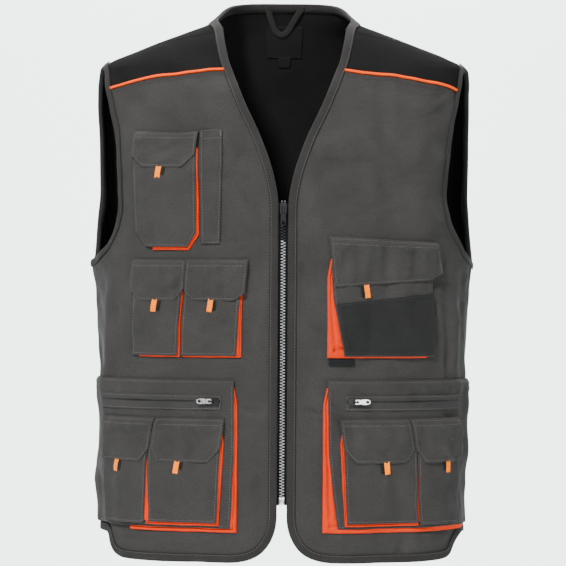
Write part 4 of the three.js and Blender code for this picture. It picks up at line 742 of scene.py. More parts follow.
def woven(name, colour, thread=0.9, contrast=0.16, mottle=0.14, rough=0.92, sheen=0.03, diagonal=True,
          wear=0.2, slubs=0.2, crumple=1.0, hollow_shade=0.3, gloss=0.1):
    """Woven cloth: thread is the pitch of its yarns in mm"""
    n = Nodes(name)
    uv = n.add("ShaderNodeTexCoord").outputs["UV"]
    turn = TWILL_ANGLE if diagonal else 0.0
    bands = []
    for angle in (turn, turn + math.pi / 2):
        values = {"Vector": n.mapped(uv, angle), "Scale": BANDS_PER_PITCH / (thread * MM), "Distortion": 0.4,
                  "Detail": 1.0, "Detail Scale": 2.0}
        bands.append(n.add("ShaderNodeTexWave", values, wave_type="BANDS").outputs["Fac"])
    weave = n.weighted(bands[0], 0.65, bands[1], 0.35)
    yarn = n.noise(n.mapped(uv, scale=(260.0, 900.0, 1.0)), 1.0, 2.0)
    patches = n.noise(uv, 16.0, 4.0, 0.6)
    lint = n.noise(uv, 1400.0, 1.0)
    slub = n.noise(uv, 480.0, 3.0, 0.7)
    edges = n.pointiness()
    base = n.blend(n.weighted(weave, 0.5, yarn, 0.5), scaled(colour, 1 - contrast),
                   scaled(colour, 1 + contrast))
    base = n.shaded(base, n.ramp(patches, 0.3, 0.7, 1 - mottle, 1 + mottle))
    base = n.shaded(base, n.ramp(slub, 0.32, 0.68, 1 - slubs, 1 + slubs))
    base = n.blend(n.ramp(lint, 0.66, 0.74, 0.0, 0.12), base, scaled(colour, 1.5, 20))
    base = n.blend(n.ramp(edges, 0.52, 0.62, 0.0, wear), base, scaled(colour, 1.35, 8))
    # Painted shade: the cloth is darkened where its surface is concave, in folds, seams and grooves
    base = n.shaded(base, n.ramp(edges, 0.38, 0.49, 1 - hollow_shade, 1.0))
    rolls = n.noise(uv, 14.0, 2.0, 0.35, 0.5)
    folded = n.noise(n.mapped(uv, 0.6, (30.0, 95.0, 1.0)), 1.0, 1.5, distortion=0.8)
    relief = n.math("ADD", n.weighted(weave, 0.11, yarn, 0.09),
                    n.weighted(rolls, 21.0 * crumple, folded, 1.1 * crumple))
    return n.finish(base, n.ramp(patches, 0.3, 0.7, rough - 0.05, rough + 0.05), relief, distance=0.001,
                    strength=1.0, Sheen_Weight=sheen, Sheen_Roughness=0.5, Specular_IOR_Level=gloss)


def metal(name, colour, rough, metallic=1.0):
    n = Nodes(name)
    place = n.add("ShaderNodeTexCoord").outputs["Object"]
    grain = n.noise(place, 420.0, 4.0)
    stains = n.ramp(n.noise(place, 60.0, 3.0), 0.35, 0.7, 0.0, 0.45)
    base = n.blend(stains, linear(colour), scaled(colour, 0.62))
    base = n.blend(n.ramp(n.pointiness(), 0.5, 0.6, 0.0, 0.5), base, scaled(colour, 1.4, 25))
    return n.finish(base, n.ramp(grain, 0.3, 0.7, rough - 0.08, rough + 0.12), grain, distance=0.00005,
                    strength=0.3, Metallic=metallic)


DYED = dict(contrast=0.07, sheen=0.0, wear=0.05)
RIBBED = dict(diagonal=False, crumple=0.1)
GREY = woven("vest_grey_twill", GREY_COLOUR, thread=1.0)
BLACK = woven("vest_black_twill", BLACK_COLOUR, thread=1.0, contrast=0.14, sheen=0.0, crumple=0.12,
              gloss=0.02)
PATCH = woven("vest_patch_weave", PATCH_COLOUR, thread=1.5, contrast=0.4, diagonal=False, sheen=0.02)
BINDING = woven("vest_binding", BINDING_COLOUR, thread=0.8, contrast=0.12, wear=0.08, crumple=0.3)
PIPING = woven("vest_piping", PIPING_COLOUR, thread=0.7, mottle=0.05, slubs=0.06, crumple=0.1, **DYED)
# The orange gussets get strong painted shade in their folds
ORANGE = woven("vest_orange", ORANGE_COLOUR, thread=0.8, mottle=0.1, slubs=0.08, hollow_shade=0.75, **DYED)
STRIP = woven("vest_tab_strip", STRIP_COLOUR, thread=0.7, mottle=0.05, slubs=0.08, **DYED)
WEBBING = woven("vest_webbing", WEBBING_COLOUR, thread=1.2, contrast=0.3, **RIBBED)
TAPE = woven("vest_zip_tape", TAPE_COLOUR, thread=0.8, contrast=0.3, sheen=0.0, **RIBBED)
LABEL = woven("vest_label", LABEL_COLOUR, thread=0.45, contrast=0.12, rough=0.55, sheen=0.0, **RIBBED)
STEEL = metal("vest_steel", STEEL_COLOUR, 0.3)
DARK_METAL = metal("vest_dark_metal", DARK_METAL_COLOUR, 0.4, 0.8)

# Garment edges, as places of the +X side

SIDE_GAP = SEAM_GAP / 2 / FRONT_DEPTH


def neck_edge(z):
    arc = np.maximum(neck_out(-z / ZIP_TOP_DROP) * HALF_WIDTH, ZIP_EDGE)
    return turn_at(arc, z)


def front_edge(z):
    down = -z / ARMHOLE_DROP
    return np.where(down < 1, np.minimum(arm_front_turn(down), 1 - SIDE_GAP), 1 - SIDE_GAP)


def back_edge(z):
    down = -z / ARMHOLE_DROP
    return np.where(down < 1, np.maximum(arm_back_turn(down), 1 + SIDE_GAP), 1 + SIDE_GAP)


def piping_z(turn):
    return -LENGTH * piping_down(turn)


def front_hem_z(turn):
    return -SIDE_HEM_DROP - LENGTH * (hem_down(turn) - hem_down(1))


def back_hem_z(turn):
    return -SIDE_HEM_DROP + BACK_HEM_RISE * (1 - np.cos((turn - 1) * np.pi)) / 2


def meeting(edge, line, z):
    for _ in range(30):
        z = line(edge(z))
    return float(z)


def crowd(length, step, near=(0.5, 1.2, 2.2, 3.4, 4.6, 5.6, 7.0)):
    """Shares from 0 to 1, closer together near both ends"""
    ends = np.array([d for d in near if d < length * 0.35] or [length * 0.25])
    count = max(1, round((length - 2 * ends[-1]) / step))
    middle = np.linspace(ends[-1], length - ends[-1], count + 1)
    return np.concatenate([[0], ends[:-1], middle, (length - ends[:-1])[::-1], [length]]) / length


def fill(top, bottom, left, right, us, vs):
    u = us[None, :]
    v = vs[:, None]
    corners = [top(0.0), top(1.0), bottom(0.0), bottom(1.0)]
    result = []
    for k in (0, 1):
        ruled = mix(top(u)[k], bottom(u)[k], v) + mix(left(v)[k], right(v)[k], u)
        flat = mix(mix(corners[0][k], corners[1][k], u), mix(corners[2][k], corners[3][k], u), v)
        result.append(ruled - flat)
    return result


piping_inner = meeting(neck_edge, piping_z, -80.0)
piping_outer = meeting(front_edge, piping_z, -110.0)
zip_hem = float(front_hem_z(neck_edge(-LENGTH)))
half_gap = SEAM_GAP / 2


def edge_line(edge, first, last):
    """Side of a panel: places on an edge of the garment from one height to another"""
    def place(v):
        z = mix(first, last, v)
        return edge(z), z
    return place


def both_halves(turn, z, axis=0):
    """Places up to the centre line and, mirrored, those of the other half"""
    other_turn, other_z = (np.flip(np.delete(a, -1, axis), axis) for a in (turn, z))
    return np.concatenate([turn, -other_turn], axis), np.concatenate([z, other_z], axis)


def smoothed(values, passes):
    """Path with its ends kept, evened out"""
    values = values.copy()
    for _ in range(passes):
        values[1:-1] = (values[:-2] + 2 * values[1:-1] + values[2:]) / 4
    return values


def beside(turn, z, distance, closed=False):
    return slide(turn, z, direction_of(turn, z, closed), distance)


def front_panel(side, label):
    top_in, top_out = piping_inner - half_gap, piping_outer - half_gap
    left = edge_line(neck_edge, top_in, zip_hem)
    right = edge_line(front_edge, top_out, -SIDE_HEM_DROP)
    l0, r0, l1, r1 = (float(line(v)[0]) for v in (0.0, 1.0) for line in (left, right))

    def top(u):
        turn = mix(l0, r0, u)
        return turn, mix(top_in - piping_z(l0), top_out - piping_z(r0), u) + piping_z(turn)

    def bottom(u):
        turn = mix(l1, r1, u)
        return turn, front_hem_z(turn)
    turn, z = fill(top, bottom, left, right, crowd(235, FRONT_STEP), crowd(560, FRONT_STEP))
    sheet = Sheet(f"front_{label}", GREY, side * turn, z, -CLOTH)
    placed(sheet.object, "grey_cloth", f"front_panel_{label}")


seam_neck = (float(neck_edge(-SEAM_NECK_DOWN * ZIP_TOP_DROP)), -SEAM_NECK_DOWN * ZIP_TOP_DROP)
seam_tip = (float(front_edge(-SEAM_TIP_DOWN * ARMHOLE_DROP)), -SEAM_TIP_DOWN * ARMHOLE_DROP)


def shoulder_seam(u):
    return mix(seam_neck[0], seam_tip[0], u) + SEAM_BOW * np.sin(u * np.pi), mix(seam_neck[1], seam_tip[1], u)


def front_yoke(side, label):
    left = edge_line(neck_edge, seam_neck[1] - half_gap, piping_inner + half_gap)
    right = edge_line(front_edge, seam_tip[1] - half_gap, piping_outer + half_gap)
    l1, r1 = float(left(1.0)[0]), float(right(1.0)[0])

    def top(u):
        turn, z = shoulder_seam(u)
        return turn, z - half_gap

    def bottom(u):
        turn = mix(l1, r1, u)
        ends = mix(left(1.0)[1] - piping_z(l1), right(1.0)[1] - piping_z(r1), u)
        return turn, ends + piping_z(turn)
    turn, z = fill(top, bottom, left, right, crowd(160, YOKE_STEP), crowd(75, 2.5))
    sheet = Sheet(f"shoulder_{label}", BLACK, side * turn, z, -CLOTH)
    placed(sheet.object, "black_cloth", f"front_yoke_{label}")
    for offset in (2.6, 8.0):
        t, h = beside(side * turn[-1], z[-1], side * -offset)
        stitch("dark", place_line(t[6:-6], h[6:-6], STITCH_LIFT))


def spokes():
    """Inner and outer ends of the back yoke's spokes, from the shoulder seam to the centre back"""
    over, arm, back = YOKE_SPOKES
    ridge_z = -LENGTH * float(neck_back_down(1.0))
    t = np.linspace(0, 1, over + 1)
    rise = t ** RIDGE_CROWDING
    inner = [np.stack([mix(seam_neck[0], 1, t), mix(seam_neck[1] + half_gap, ridge_z, rise)], -1)]
    outer = [np.stack([mix(seam_tip[0], RIDGE_TURN, t), seam_tip[1] + mix(half_gap, SEAM_GAP, t)], -1)]
    bow = np.maximum(0, 1 - t * OVER_STEPS)
    t = np.linspace(0, 1, arm + 1)[1:]
    z = mix(-TIP_BACK_SHARE * ARMHOLE_DROP, -BACK_YOKE_DROP + half_gap, t ** TIP_CROWDING)
    outer.append(np.stack([back_edge(z), z], -1))
    turns = mix(1, YOKE_SIDE_TURN, t)
    t = np.linspace(0, 1, back + 1)[1:]
    corner = float(back_edge(-BACK_YOKE_DROP))
    outer.append(np.stack([mix(corner, 2, t), np.full(len(t), -BACK_YOKE_DROP + half_gap)], -1))
    turns = np.append(turns, mix(YOKE_SIDE_TURN, 2, t))
    inner.append(np.stack([turns, -LENGTH * neck_back_down(turns)], -1))
    return np.concatenate(inner), np.concatenate(outer), np.append(bow, np.zeros(arm + back))


def back_yoke():
    inner, outer, bow = spokes()
    s = crowd(150, YOKE_STEP)[None, :]
    turn = mix(inner[:, :1], outer[:, :1], s) + SEAM_BOW * np.sin(s * np.pi) * bow[:, None]
    turn, z = both_halves(turn, mix(inner[:, 1:], outer[:, 1:], s))
    sheet = Sheet("back_shoulders", BLACK, turn, z, -CLOTH)
    placed(sheet.object, "black_cloth", "back_yoke")
    across = np.linspace(1.18, 2, 120)
    for offset in (2.4, 8.0):
        stitch("dark", place_line(*both_halves(across, 0 * across - BACK_YOKE_DROP + offset), STITCH_LIFT))


def back_panel():
    top_z = -BACK_YOKE_DROP - half_gap
    left = edge_line(back_edge, top_z, -SIDE_HEM_DROP)
    right = edge_line(lambda z: 2.0 + 0 * z, top_z, float(back_hem_z(2.0)))
    l0, l1 = float(left(0.0)[0]), float(left(1.0)[0])
    top = lambda u: (mix(l0, 2, u), top_z + 0 * u)
    bottom = lambda u: (mix(l1, 2, u), back_hem_z(mix(l1, 2, u)))
    us = crowd(290, BACK_PANEL_STEP)
    us = np.append(us[us < 0.985], 1.0)
    turn, z = both_halves(*fill(top, bottom, left, right, us, crowd(550, BACK_PANEL_STEP)), axis=1)
    sheet = Sheet("back", BLACK, turn, z, -CLOTH)
    placed(sheet.object, "black_cloth", "back_panel")
    across = np.linspace(1.03, 2, 160)
    for offset in (12, 13.6):
        stitch("dark", place_line(*both_halves(across, back_hem_z(across) + offset), STITCH_LIFT))


def resampled(turn, z, step, closed=False):
    if closed:
        turn, z = np.append(turn, turn[0]), np.append(z, z[0])
    along = running(form(turn, z))
    at = np.linspace(0, along[-1], round(along[-1] / step) + 1)
    if closed:
        at = at[:-1]
    return np.interp(at, along, turn), np.interp(at, along, z)


def band_section(direction, width, gap):
    """Binding folded round an edge, with a ridge along its stitches"""
    outer = gap + BAND_LEAF
    inner = -CLOTH - gap - BAND_LEAF
    middle, reach = (outer + inner) / 2, (outer - inner) / 2
    bend = [(-reach * 0.75 * math.sin(a), middle + reach * math.cos(a)) for a in np.linspace(0, math.pi, 9)]
    section = [(width, gap), (width + 0.25, (gap + outer) / 2), (width - 0.2, outer),
               (width - 1.0, outer + 0.1), (width - BAND_STITCH, outer - 0.12),
               (width - 2.3, outer + 0.12), (width * 0.4, outer + 0.18)]
    section += bend + [(width * 0.5, inner), (width, inner), (width, -CLOTH - gap),
                       (0, -CLOTH - gap), (0, gap)]
    return [(direction * aside, lift) for aside, lift in section]


def edge_band():
    turn = np.linspace(1 - SIDE_GAP, float(neck_edge(zip_hem)), 400)
    z = np.linspace(zip_hem, seam_neck[1], 400)[1:]
    half = np.concatenate([np.stack([turn, front_hem_z(turn)], -1), np.stack([neck_edge(z), z], -1),
                           spokes()[0][1:]])
    t, h = resampled(half[:, 0], half[:, 1], 3.0)
    t, h = both_halves(smoothed(t, 14), smoothed(h, 14))
    band = sweep("edge_binding", BINDING, t, h, band_section(-1, BAND_WIDTH, BAND_GAP))
    placed(band, "binding", "edge_band")
    stitch("light", place_line(*beside(t, h, BAND_STITCH - BAND_WIDTH), BAND_GAP + BAND_LEAF - 0.1))


def armhole_band(side, label):
    tip = -TIP_BACK_SHARE * ARMHOLE_DROP
    down = np.linspace(seam_tip[1], -ARMHOLE_DROP, 200)
    up = np.linspace(-ARMHOLE_DROP, -BACK_YOKE_DROP, 120)[1:]
    up = np.append(up, np.linspace(-BACK_YOKE_DROP, tip, 60)[1:])
    over = np.linspace(RIDGE_TURN, seam_tip[0], 12)[1:-1]
    turn = np.concatenate([front_edge(down), back_edge(up), over])
    z = np.concatenate([down, up, np.full(len(over), seam_tip[1])])
    t, h = resampled(turn, z, 2.6, closed=True)
    for _ in range(7):
        t, h = ((np.roll(a, 1) + 2 * a + np.roll(a, -1)) / 4 for a in (t, h))
    t = side * t
    band = sweep(f"armhole_binding_{label}", BINDING, t, h,
                 band_section(-side, ARM_BAND_WIDTH, ARM_BAND_GAP), closed=True)
    placed(band, "binding", f"armhole_band_{label}")
    t, h = beside(t, h, side * (BAND_STITCH - ARM_BAND_WIDTH), closed=True)
    below = h < seam_tip[1] - 5
    stitch("dim", place_line(t[below], h[below], ARM_BAND_GAP + BAND_LEAF - 0.1), pitch=3.2, length=2.2)


def piping(side, label):
    turn = np.linspace(float(neck_edge(piping_inner)), float(front_edge(piping_outer)), 160)
    z = piping_z(turn)
    along = running(form(turn, z))
    keep = (along > BAND_WIDTH - 0.5) & (along < along[-1] - ARM_BAND_WIDTH + 0.5)
    turn, z = resampled(turn[keep], z[keep], 2.0)
    section = [(PIPING_RADIUS * math.cos(a), SEAM_GAP + PIPING_RADIUS * (0.75 + math.sin(a)))
               for a in np.linspace(0, 2 * math.pi, 13)[:-1]]
    cord = sweep(f"orange_piping_{label}", PIPING, side * turn, z, section)
    placed(cord, "orange_cloth", f"piping_{label}")
    stitch("orange", place_line(side * turn, z - 2.0, 0.35), pitch=3.0, length=2.0)


# Pockets

FRONT_TOP = POCKET_DEPTH + CLOTH
FLAP_LIFT = FRONT_TOP + FLAP_GAP
GUSSET_TOP = POCKET_DEPTH - GUSSET_GAP - GUSSET_CLOTH
cargo_bottom = -SIDE_HEM_DROP + CARGO_RISE
cargo_top = cargo_bottom + CARGO_HEIGHT
double_bottom = cargo_top + ROW_GAP
double_top = double_bottom + DOUBLE_HEIGHT
phone_top = double_top + PHONE_GAP + PHONE_HEIGHT
chest_top = double_bottom + CHEST_HEIGHT
side_arc = float(arc_at(1.0, cargo_bottom)) - CARGO_SIDE_SETBACK


def ridge(distance, spread):
    return np.exp(-(distance / spread) ** 2)


def pocket_grid(pocket, outline, low, high=None, sewn="", tilt=0.0, lean=0.0, rumple=0.6, puff=0.0, seed=0,
                thickness=CLOTH):
    """Places over a pocket piece. pocket is side, top, height, inner, width; sewn names the
    edges that lie on the cloth below, at lift low."""
    side, top, tall, start, wide = pocket
    high = low if high is None else high
    inner, outer = line_curve(outline, 1), line_curve(outline, 2)
    first, last = outline[0][0], outline[-1][0]
    height = (last - first) * tall
    share_at = lambda v: first + v * (last - first)
    width_at = lambda v: (outer(share_at(v)) - inner(share_at(v))) * wide
    width = float(width_at(0.5))
    us, vs = crowd(width, FRONT_STEP), crowd(height, FRONT_STEP)
    for knot in [(row[0] - first) / (last - first) for row in outline[1:-1]]:
        vs[np.argmin(np.abs(vs - knot))] = knot
    u, v = np.meshgrid(us, vs)
    share = share_at(v)
    z = top - share * tall + (u - 0.5) * mix(tilt, lean, v)
    arc = start + mix(inner(share), outer(share), u) * wide
    edges = {"top": v * height, "bottom": (1 - v) * height, "inner": u * width, "outer": (1 - u) * width}
    rise = np.ones(u.shape)
    for edge, distance in edges.items():
        if edge in sewn:
            rise = np.minimum(rise, distance / (FLAP_ROLL if edge == "top" and "flap" in sewn else SEWN_ROLL))
    lift = mix(low, high, np.sin(np.clip(rise, 0, 1) * np.pi / 2))
    distance = np.minimum.reduce(list(edges.values()))
    rumples = rumple * (1.1 + 1.5 * waves(arc + 37 * seed, z + 11 * seed, 30, seed % 16)) + puff
    lift = lift + smooth(distance / 9) * rumples
    if "top" in sewn:
        # The cloth puckers between and below the two lines of stitches
        pucker = np.sin(arc * 0.42 + 2.1 * seed + 1.3 * np.sin(arc * 0.11)) + np.sin(arc * 0.23 + seed)
        below = edges["top"]
        lift = lift + 0.6 * (1 + 0.8 * pucker) * ridge(below - 12.5, 3.4) * smooth((below - 8.4) / 2)
        lift = lift + 0.2 * (1 + 0.6 * pucker) * ridge(below - 5.3, 1.6)
    thick = thickness + 0.35 * (1 - smooth((distance - 4.4) / 1.2)) - 0.22 * ridge(distance - 2.2, 0.8)
    return turn_at(side * arc, z), z, lift, thick, (width_at, us, vs, height)


def pocket_piece(name, node, pocket, outline, material=GREY, slot="grey_cloth", **options):
    turn, z, lift, thick, facts = pocket_grid(pocket, outline, **options)
    sheet = Sheet(name, material, turn, z, lift, thick, facts)
    placed(sheet.object, slot, *([node] if node else []))
    return sheet


def bag(name, node, pocket, outline, seed, sewn="top outer", low=LAYER_GAP, high=POCKET_DEPTH, **options):
    """Front of a pocket, stitched round its free edges"""
    front = pocket_piece(name, node, pocket, outline, low=low, high=high, sewn=sewn, seed=seed, **options)
    stitch("light", front.line((1.8, 3), (1.8, -1.8), (-1.8, -1.8), (-1.8, 3)))


def flap(name, node, pocket, outline, seed, low=LAYER_GAP, high=FLAP_LIFT, rumple=1.3, **options):
    """Flap with two lines of stitches under its top and one round its free edges"""
    lid = pocket_piece(name, node, pocket, outline, low=low, high=high, sewn="top flap", seed=seed,
                       rumple=rumple, **options)
    stitch("light", lid.line((2.2, 2.4), (-2.2, 2.4)))
    stitch("light", lid.line((2.2, 8.2), (-2.2, 8.2)))
    stitch("light", lid.line((2.2, 2.4), (2.2, -2.2), (-2.2, -2.2), (-2.2, 2.4)))


def gusset(name, node, pocket, base_line, reach, low=LAYER_GAP, high=GUSSET_TOP, folds=()):
    """Orange fold from its base line to under the open edge of the pocket's front"""
    side, top, tall, start, wide = pocket
    corners = np.array([(start + inner * wide, top - down * tall) for down, inner in base_line], float)
    ways = unit(np.diff(corners, axis=0))
    normals = np.stack([-ways[:, 1], ways[:, 0]], -1)
    shifted = []
    for i, corner in enumerate(corners):
        before, after = normals[max(i - 1, 0)], normals[min(i, len(normals) - 1)]
        mean = unit(before + after)
        shifted.append(corner + mean * reach(top - corner[1]) / max(0.5, float(mean @ after)))
    base, under = [], []
    for i, (a, b) in enumerate(zip(corners, corners[1:])):
        count = max(2, round(float(np.linalg.norm(b - a)) / 3))
        for t in np.linspace(0, 1, count + 1)[min(i, 1):]:
            point = mix(a, b, t)
            extra = reach(top - point[1]) - mix(reach(top - a[1]), reach(top - b[1]), t)
            base.append(point)
            under.append(mix(shifted[i], shifted[i + 1], t) + normals[i] * extra)
    t = np.linspace(0, 1, 19)[:, None]
    arc, z = np.moveaxis(mix(np.array(base)[None], np.array(under)[None], t[..., None]), -1, 0)
    billow = 0.45 * np.sin(t * np.pi * 2) * (0.6 + 0.4 * waves(arc, z, 30, 3))
    lift = mix(low, high, np.sin(t * np.pi / 2)) + billow
    valley = 0.4 + 0.06 * waves(arc, z, 70, 8)
    lift = lift + 1.1 * np.minimum(ridge(t - valley + 0.22, 0.11) + ridge(t - valley - 0.22, 0.11), 1)
    lift = mix(lift, low - 0.75, 0.95 * ridge(t - valley, 0.075)) + crease_lift(arc, z, folds)
    sheet = Sheet(name, ORANGE, turn_at(side * arc, z), z, lift, GUSSET_CLOTH)
    placed(sheet.object, "orange_cloth", node)
    stitch("orange", (sheet.outer[1], sheet.normal[1]), pitch=3.2, length=2.2)


def tab(name, node, pocket, place, down, lift=FRONT_TOP + SEAM_GAP):
    """Pull tab below a flap: a black webbing loop with an orange strip on its outer side"""
    side, top, tall, start, wide = pocket
    u, v = np.meshgrid(np.linspace(0, 1, 8), np.linspace(0, 1, 16))
    for part, material, slot, inner, outer, long, over, nodes in (
            ("loop", WEBBING, "webbing", -5.0, 0.9, TAB_LENGTH + 1.5, 0.0, [node]),
            ("strip", STRIP, "orange_cloth", -0.3, 5.4, TAB_LENGTH + 2.8, 0.5, [])):
        arc = start + place * wide + mix(inner, outer, u) + 2.2 * v ** 1.5
        z = top - down * tall + 2.5 - long * v + 0.7 * (u - 0.5)
        rise = lift + over + 1.3 * np.sin(v * np.pi) + 0.25 * np.cos(u * np.pi * 2)
        sheet = Sheet(f"{name}_{part}", material, turn_at(side * arc, z), z, rise, TAB_THICKNESS * 0.75)
        placed(sheet.object, slot, *nodes)


def bartack(sheet, a, b, tall=8.0, wide=2.2):
    """Dense block of stitches across, at mm from the inner edge and the top"""
    for down in b + 0.9 * np.arange(int(tall / 0.9)):
        stitch("light", sheet.line((a, down), (a + wide, down)), pitch=wide, length=wide)


def phone_pocket():
    pocket = (-1, phone_top, PHONE_HEIGHT, PHONE_INNER, PHONE_WIDTH)
    bag("phone_front", "phone_pocket_front", pocket, PHONE_FRONT, 1, puff=0.6)
    gusset("phone_gusset", "phone_pocket_gusset", pocket, PHONE_GUSSET, lambda drop: 6.0)
    flap("phone_flap", "phone_pocket_flap", pocket, PHONE_FLAP, 2)
    tab("phone_tab", "phone_pocket_tab", pocket, 0.54, 0.31)
    pen = (-1, phone_top, PHONE_HEIGHT, PHONE_INNER - PEN_GAP - PEN_WIDTH, PEN_WIDTH)
    slot = pocket_piece("pen_slot", "pen_pocket", pen, PEN_FRONT, low=LAYER_GAP, seed=3, rumple=0.3,
                        high=POCKET_DEPTH * PEN_DEPTH_SHARE, sewn="inner outer bottom")
    stitch("light", slot.line((1.8, 1), (1.8, -1.8), (-1.8, -1.8), (-1.8, 1)))
    stitch("light", slot.line((2, 10), (-2, 10)))
    for inner in (0.6, PEN_WIDTH - 3.2):
        bartack(slot, inner, 1)


def double_pocket():
    pocket = (-1, double_top, DOUBLE_HEIGHT, DOUBLE_INNER, DOUBLE_WIDTH)
    reach = lambda drop: 3 + 3 * min(drop / DOUBLE_HEIGHT, 1)
    for seed, part, sewn, place in ((4, "a", "top outer", 0.72), (5, "b", "top", 0.24)):
        node = lambda piece: f"double_pocket_{piece}_{part}"
        bag(f"double_front_{part}", node("front"), pocket, DOUBLE_FRONTS[part], seed, sewn=sewn, puff=0.5)
        gusset(f"double_gusset_{part}", node("gusset"), pocket, DOUBLE_GUSSETS[part], reach)
        flap(f"double_flap_{part}", node("flap"), pocket, DOUBLE_FLAPS[part], seed + 2)
        tab(f"double_tab_{part}", node("tab"), pocket, place, 0.425)


def chest_pocket():
    pocket = (1, chest_top, CHEST_HEIGHT, CHEST_INNER, CHEST_WIDTH)
    bag("chest_front", "chest_pocket_front", pocket, CHEST_FRONT, 8, rumple=0.5)
    patch = pocket_piece("chest_patch", "chest_pocket_patch", pocket, CHEST_PATCH, PATCH, "patch_cloth",
                         low=FRONT_TOP + SEAM_GAP, tilt=PATCH_TILT, seed=8, rumple=0.5,
                         thickness=PATCH_THICKNESS)
    stitch("dim", patch.line((1.6, 1.6), (-1.6, 1.6), (-1.6, -1.6), (1.6, -1.6), (1.6, 1.6)))
    gusset("chest_gusset", "chest_pocket_gusset", pocket, CHEST_GUSSET,
           lambda drop: 7 + 14 * (drop / CHEST_HEIGHT) ** 2, folds=CHEST_FOLDS)
    flap("chest_flap", "chest_pocket_flap", pocket, CHEST_FLAP, 9, rumple=1.1, tilt=-7, lean=CHEST_FLAP_LEAN)
    tab("chest_tab", "chest_pocket_tab", pocket, 0.31, 0.40)
    u, v = np.meshgrid(np.linspace(0, 1, 14), np.linspace(0, 1, 8))
    z = chest_top - CHEST_HEIGHT * SIDE_LABEL_DOWN - v * SIDE_LABEL_HEIGHT
    label = Sheet("side_tag", LABEL, turn_at(CHEST_INNER + u * SIDE_LABEL_WIDTH, z), z,
                  LAYER_GAP + 0.3 * np.sin(u * np.pi), LABEL_THICKNESS)
    placed(label.object, "label_cloth", "side_label")


def cargo_pocket(side, label, base, top, middle, bottom, foot, b_front, seed, folds):
    prefix = f"cargo_{label}"
    width = side_arc - CARGO_INNER
    pocket = (side, cargo_top, CARGO_HEIGHT, CARGO_INNER, width)
    share = CARGO_GUSSET / width
    outline = [(0, top * share, 1), (0.5, middle * share, 1), (0.97, bottom * share, 1)]
    front = pocket_piece(f"{prefix}_bag", f"{prefix}_front", pocket, outline, low=LAYER_GAP,
                         high=POCKET_DEPTH, sewn="top outer", seed=seed, rumple=0.25)
    stitch("light", front.line((1.8, 2.4), (-3, 2.4)))
    stitch("light", front.line((1.8, 2.4), (1.8, -2.0), (-3, -2.0), (-3, 2.4)))
    slope = (bottom - top) * CARGO_GUSSET / CARGO_HEIGHT
    gusset(f"{prefix}_bellows", f"{prefix}_gusset", pocket,
           [(0.05, (top - 0.15) * share), (0.16, base * share), (1, base * share), (1, foot)],
           lambda drop: (top - base) * CARGO_GUSSET + slope * drop + 2, folds=folds)
    cargo_zip(prefix, pocket, TRACK_INSET + bottom * CARGO_GUSSET / 2, width - TRACK_SIDE_INSET, seed + 1)
    small_pockets(prefix, side, seed, b_front)
    dressed(f"{prefix}_zip_slider", f"{prefix}_slider", DARK_METAL, "zip_metal", "vest")
    dressed(f"{prefix}_zip_pull", f"{prefix}_pull", STEEL, "zip_metal", f"{label}_cargo_pull", bevel=0.3)


def cargo_zip(prefix, pocket, inner, outer, seed):
    """Two lips with a coil zip between them, from inner to outer mm along the pocket"""
    side, _, _, _, width = pocket
    slit = TRACK_DROP + TRACK_HEIGHT * ZIP_LINE_SHARE
    lips = (("upper", TRACK_DROP, slit - SLIT_HALF, f"{prefix}_zip_track", 1.2),
            ("lower", slit + SLIT_HALF, TRACK_DROP + TRACK_HEIGHT, None, -1.2))
    for part, first, last, node, sewn_at in lips:
        lip = pocket_piece(f"{prefix}_welt_{part}", node, pocket,
                           [(down / CARGO_HEIGHT, inner / width, outer / width) for down in (first, last)],
                           low=FRONT_TOP + SEAM_GAP, rumple=0.15, seed=seed, thickness=TRACK_THICKNESS * 0.75)
        stitch("light", lip.line((1.4, sewn_at), (-1.4, sewn_at)))
        for aside in (1.4, -1.4):
            stitch("light", lip.line((aside, 0.5), (aside, -0.5)))
    arc = CARGO_INNER + np.linspace(inner + 2, outer - 3, 150)
    z = cargo_top - slit
    strip = sweep(f"{prefix}_zip_strip", TAPE, turn_at(side * arc, z), np.full(len(arc), z),
                  [(-2.6, 0), (2.6, 0), (2.6, 0.3), (-2.6, 0.3)], lift=FRONT_TOP + 0.55)
    placed(strip, "zip_tape")
    coils = np.arange(arc[0], arc[-1], COIL_PITCH)
    spots = zip_spots(turn_at(side * coils, z), np.full(len(coils), z), FRONT_TOP + 0.75, 0.35,
                      (2.3, 0.9, 1.0))
    placed(teeth(f"{prefix}_zip_coil", DARK_METAL, spots), "zip_tape")


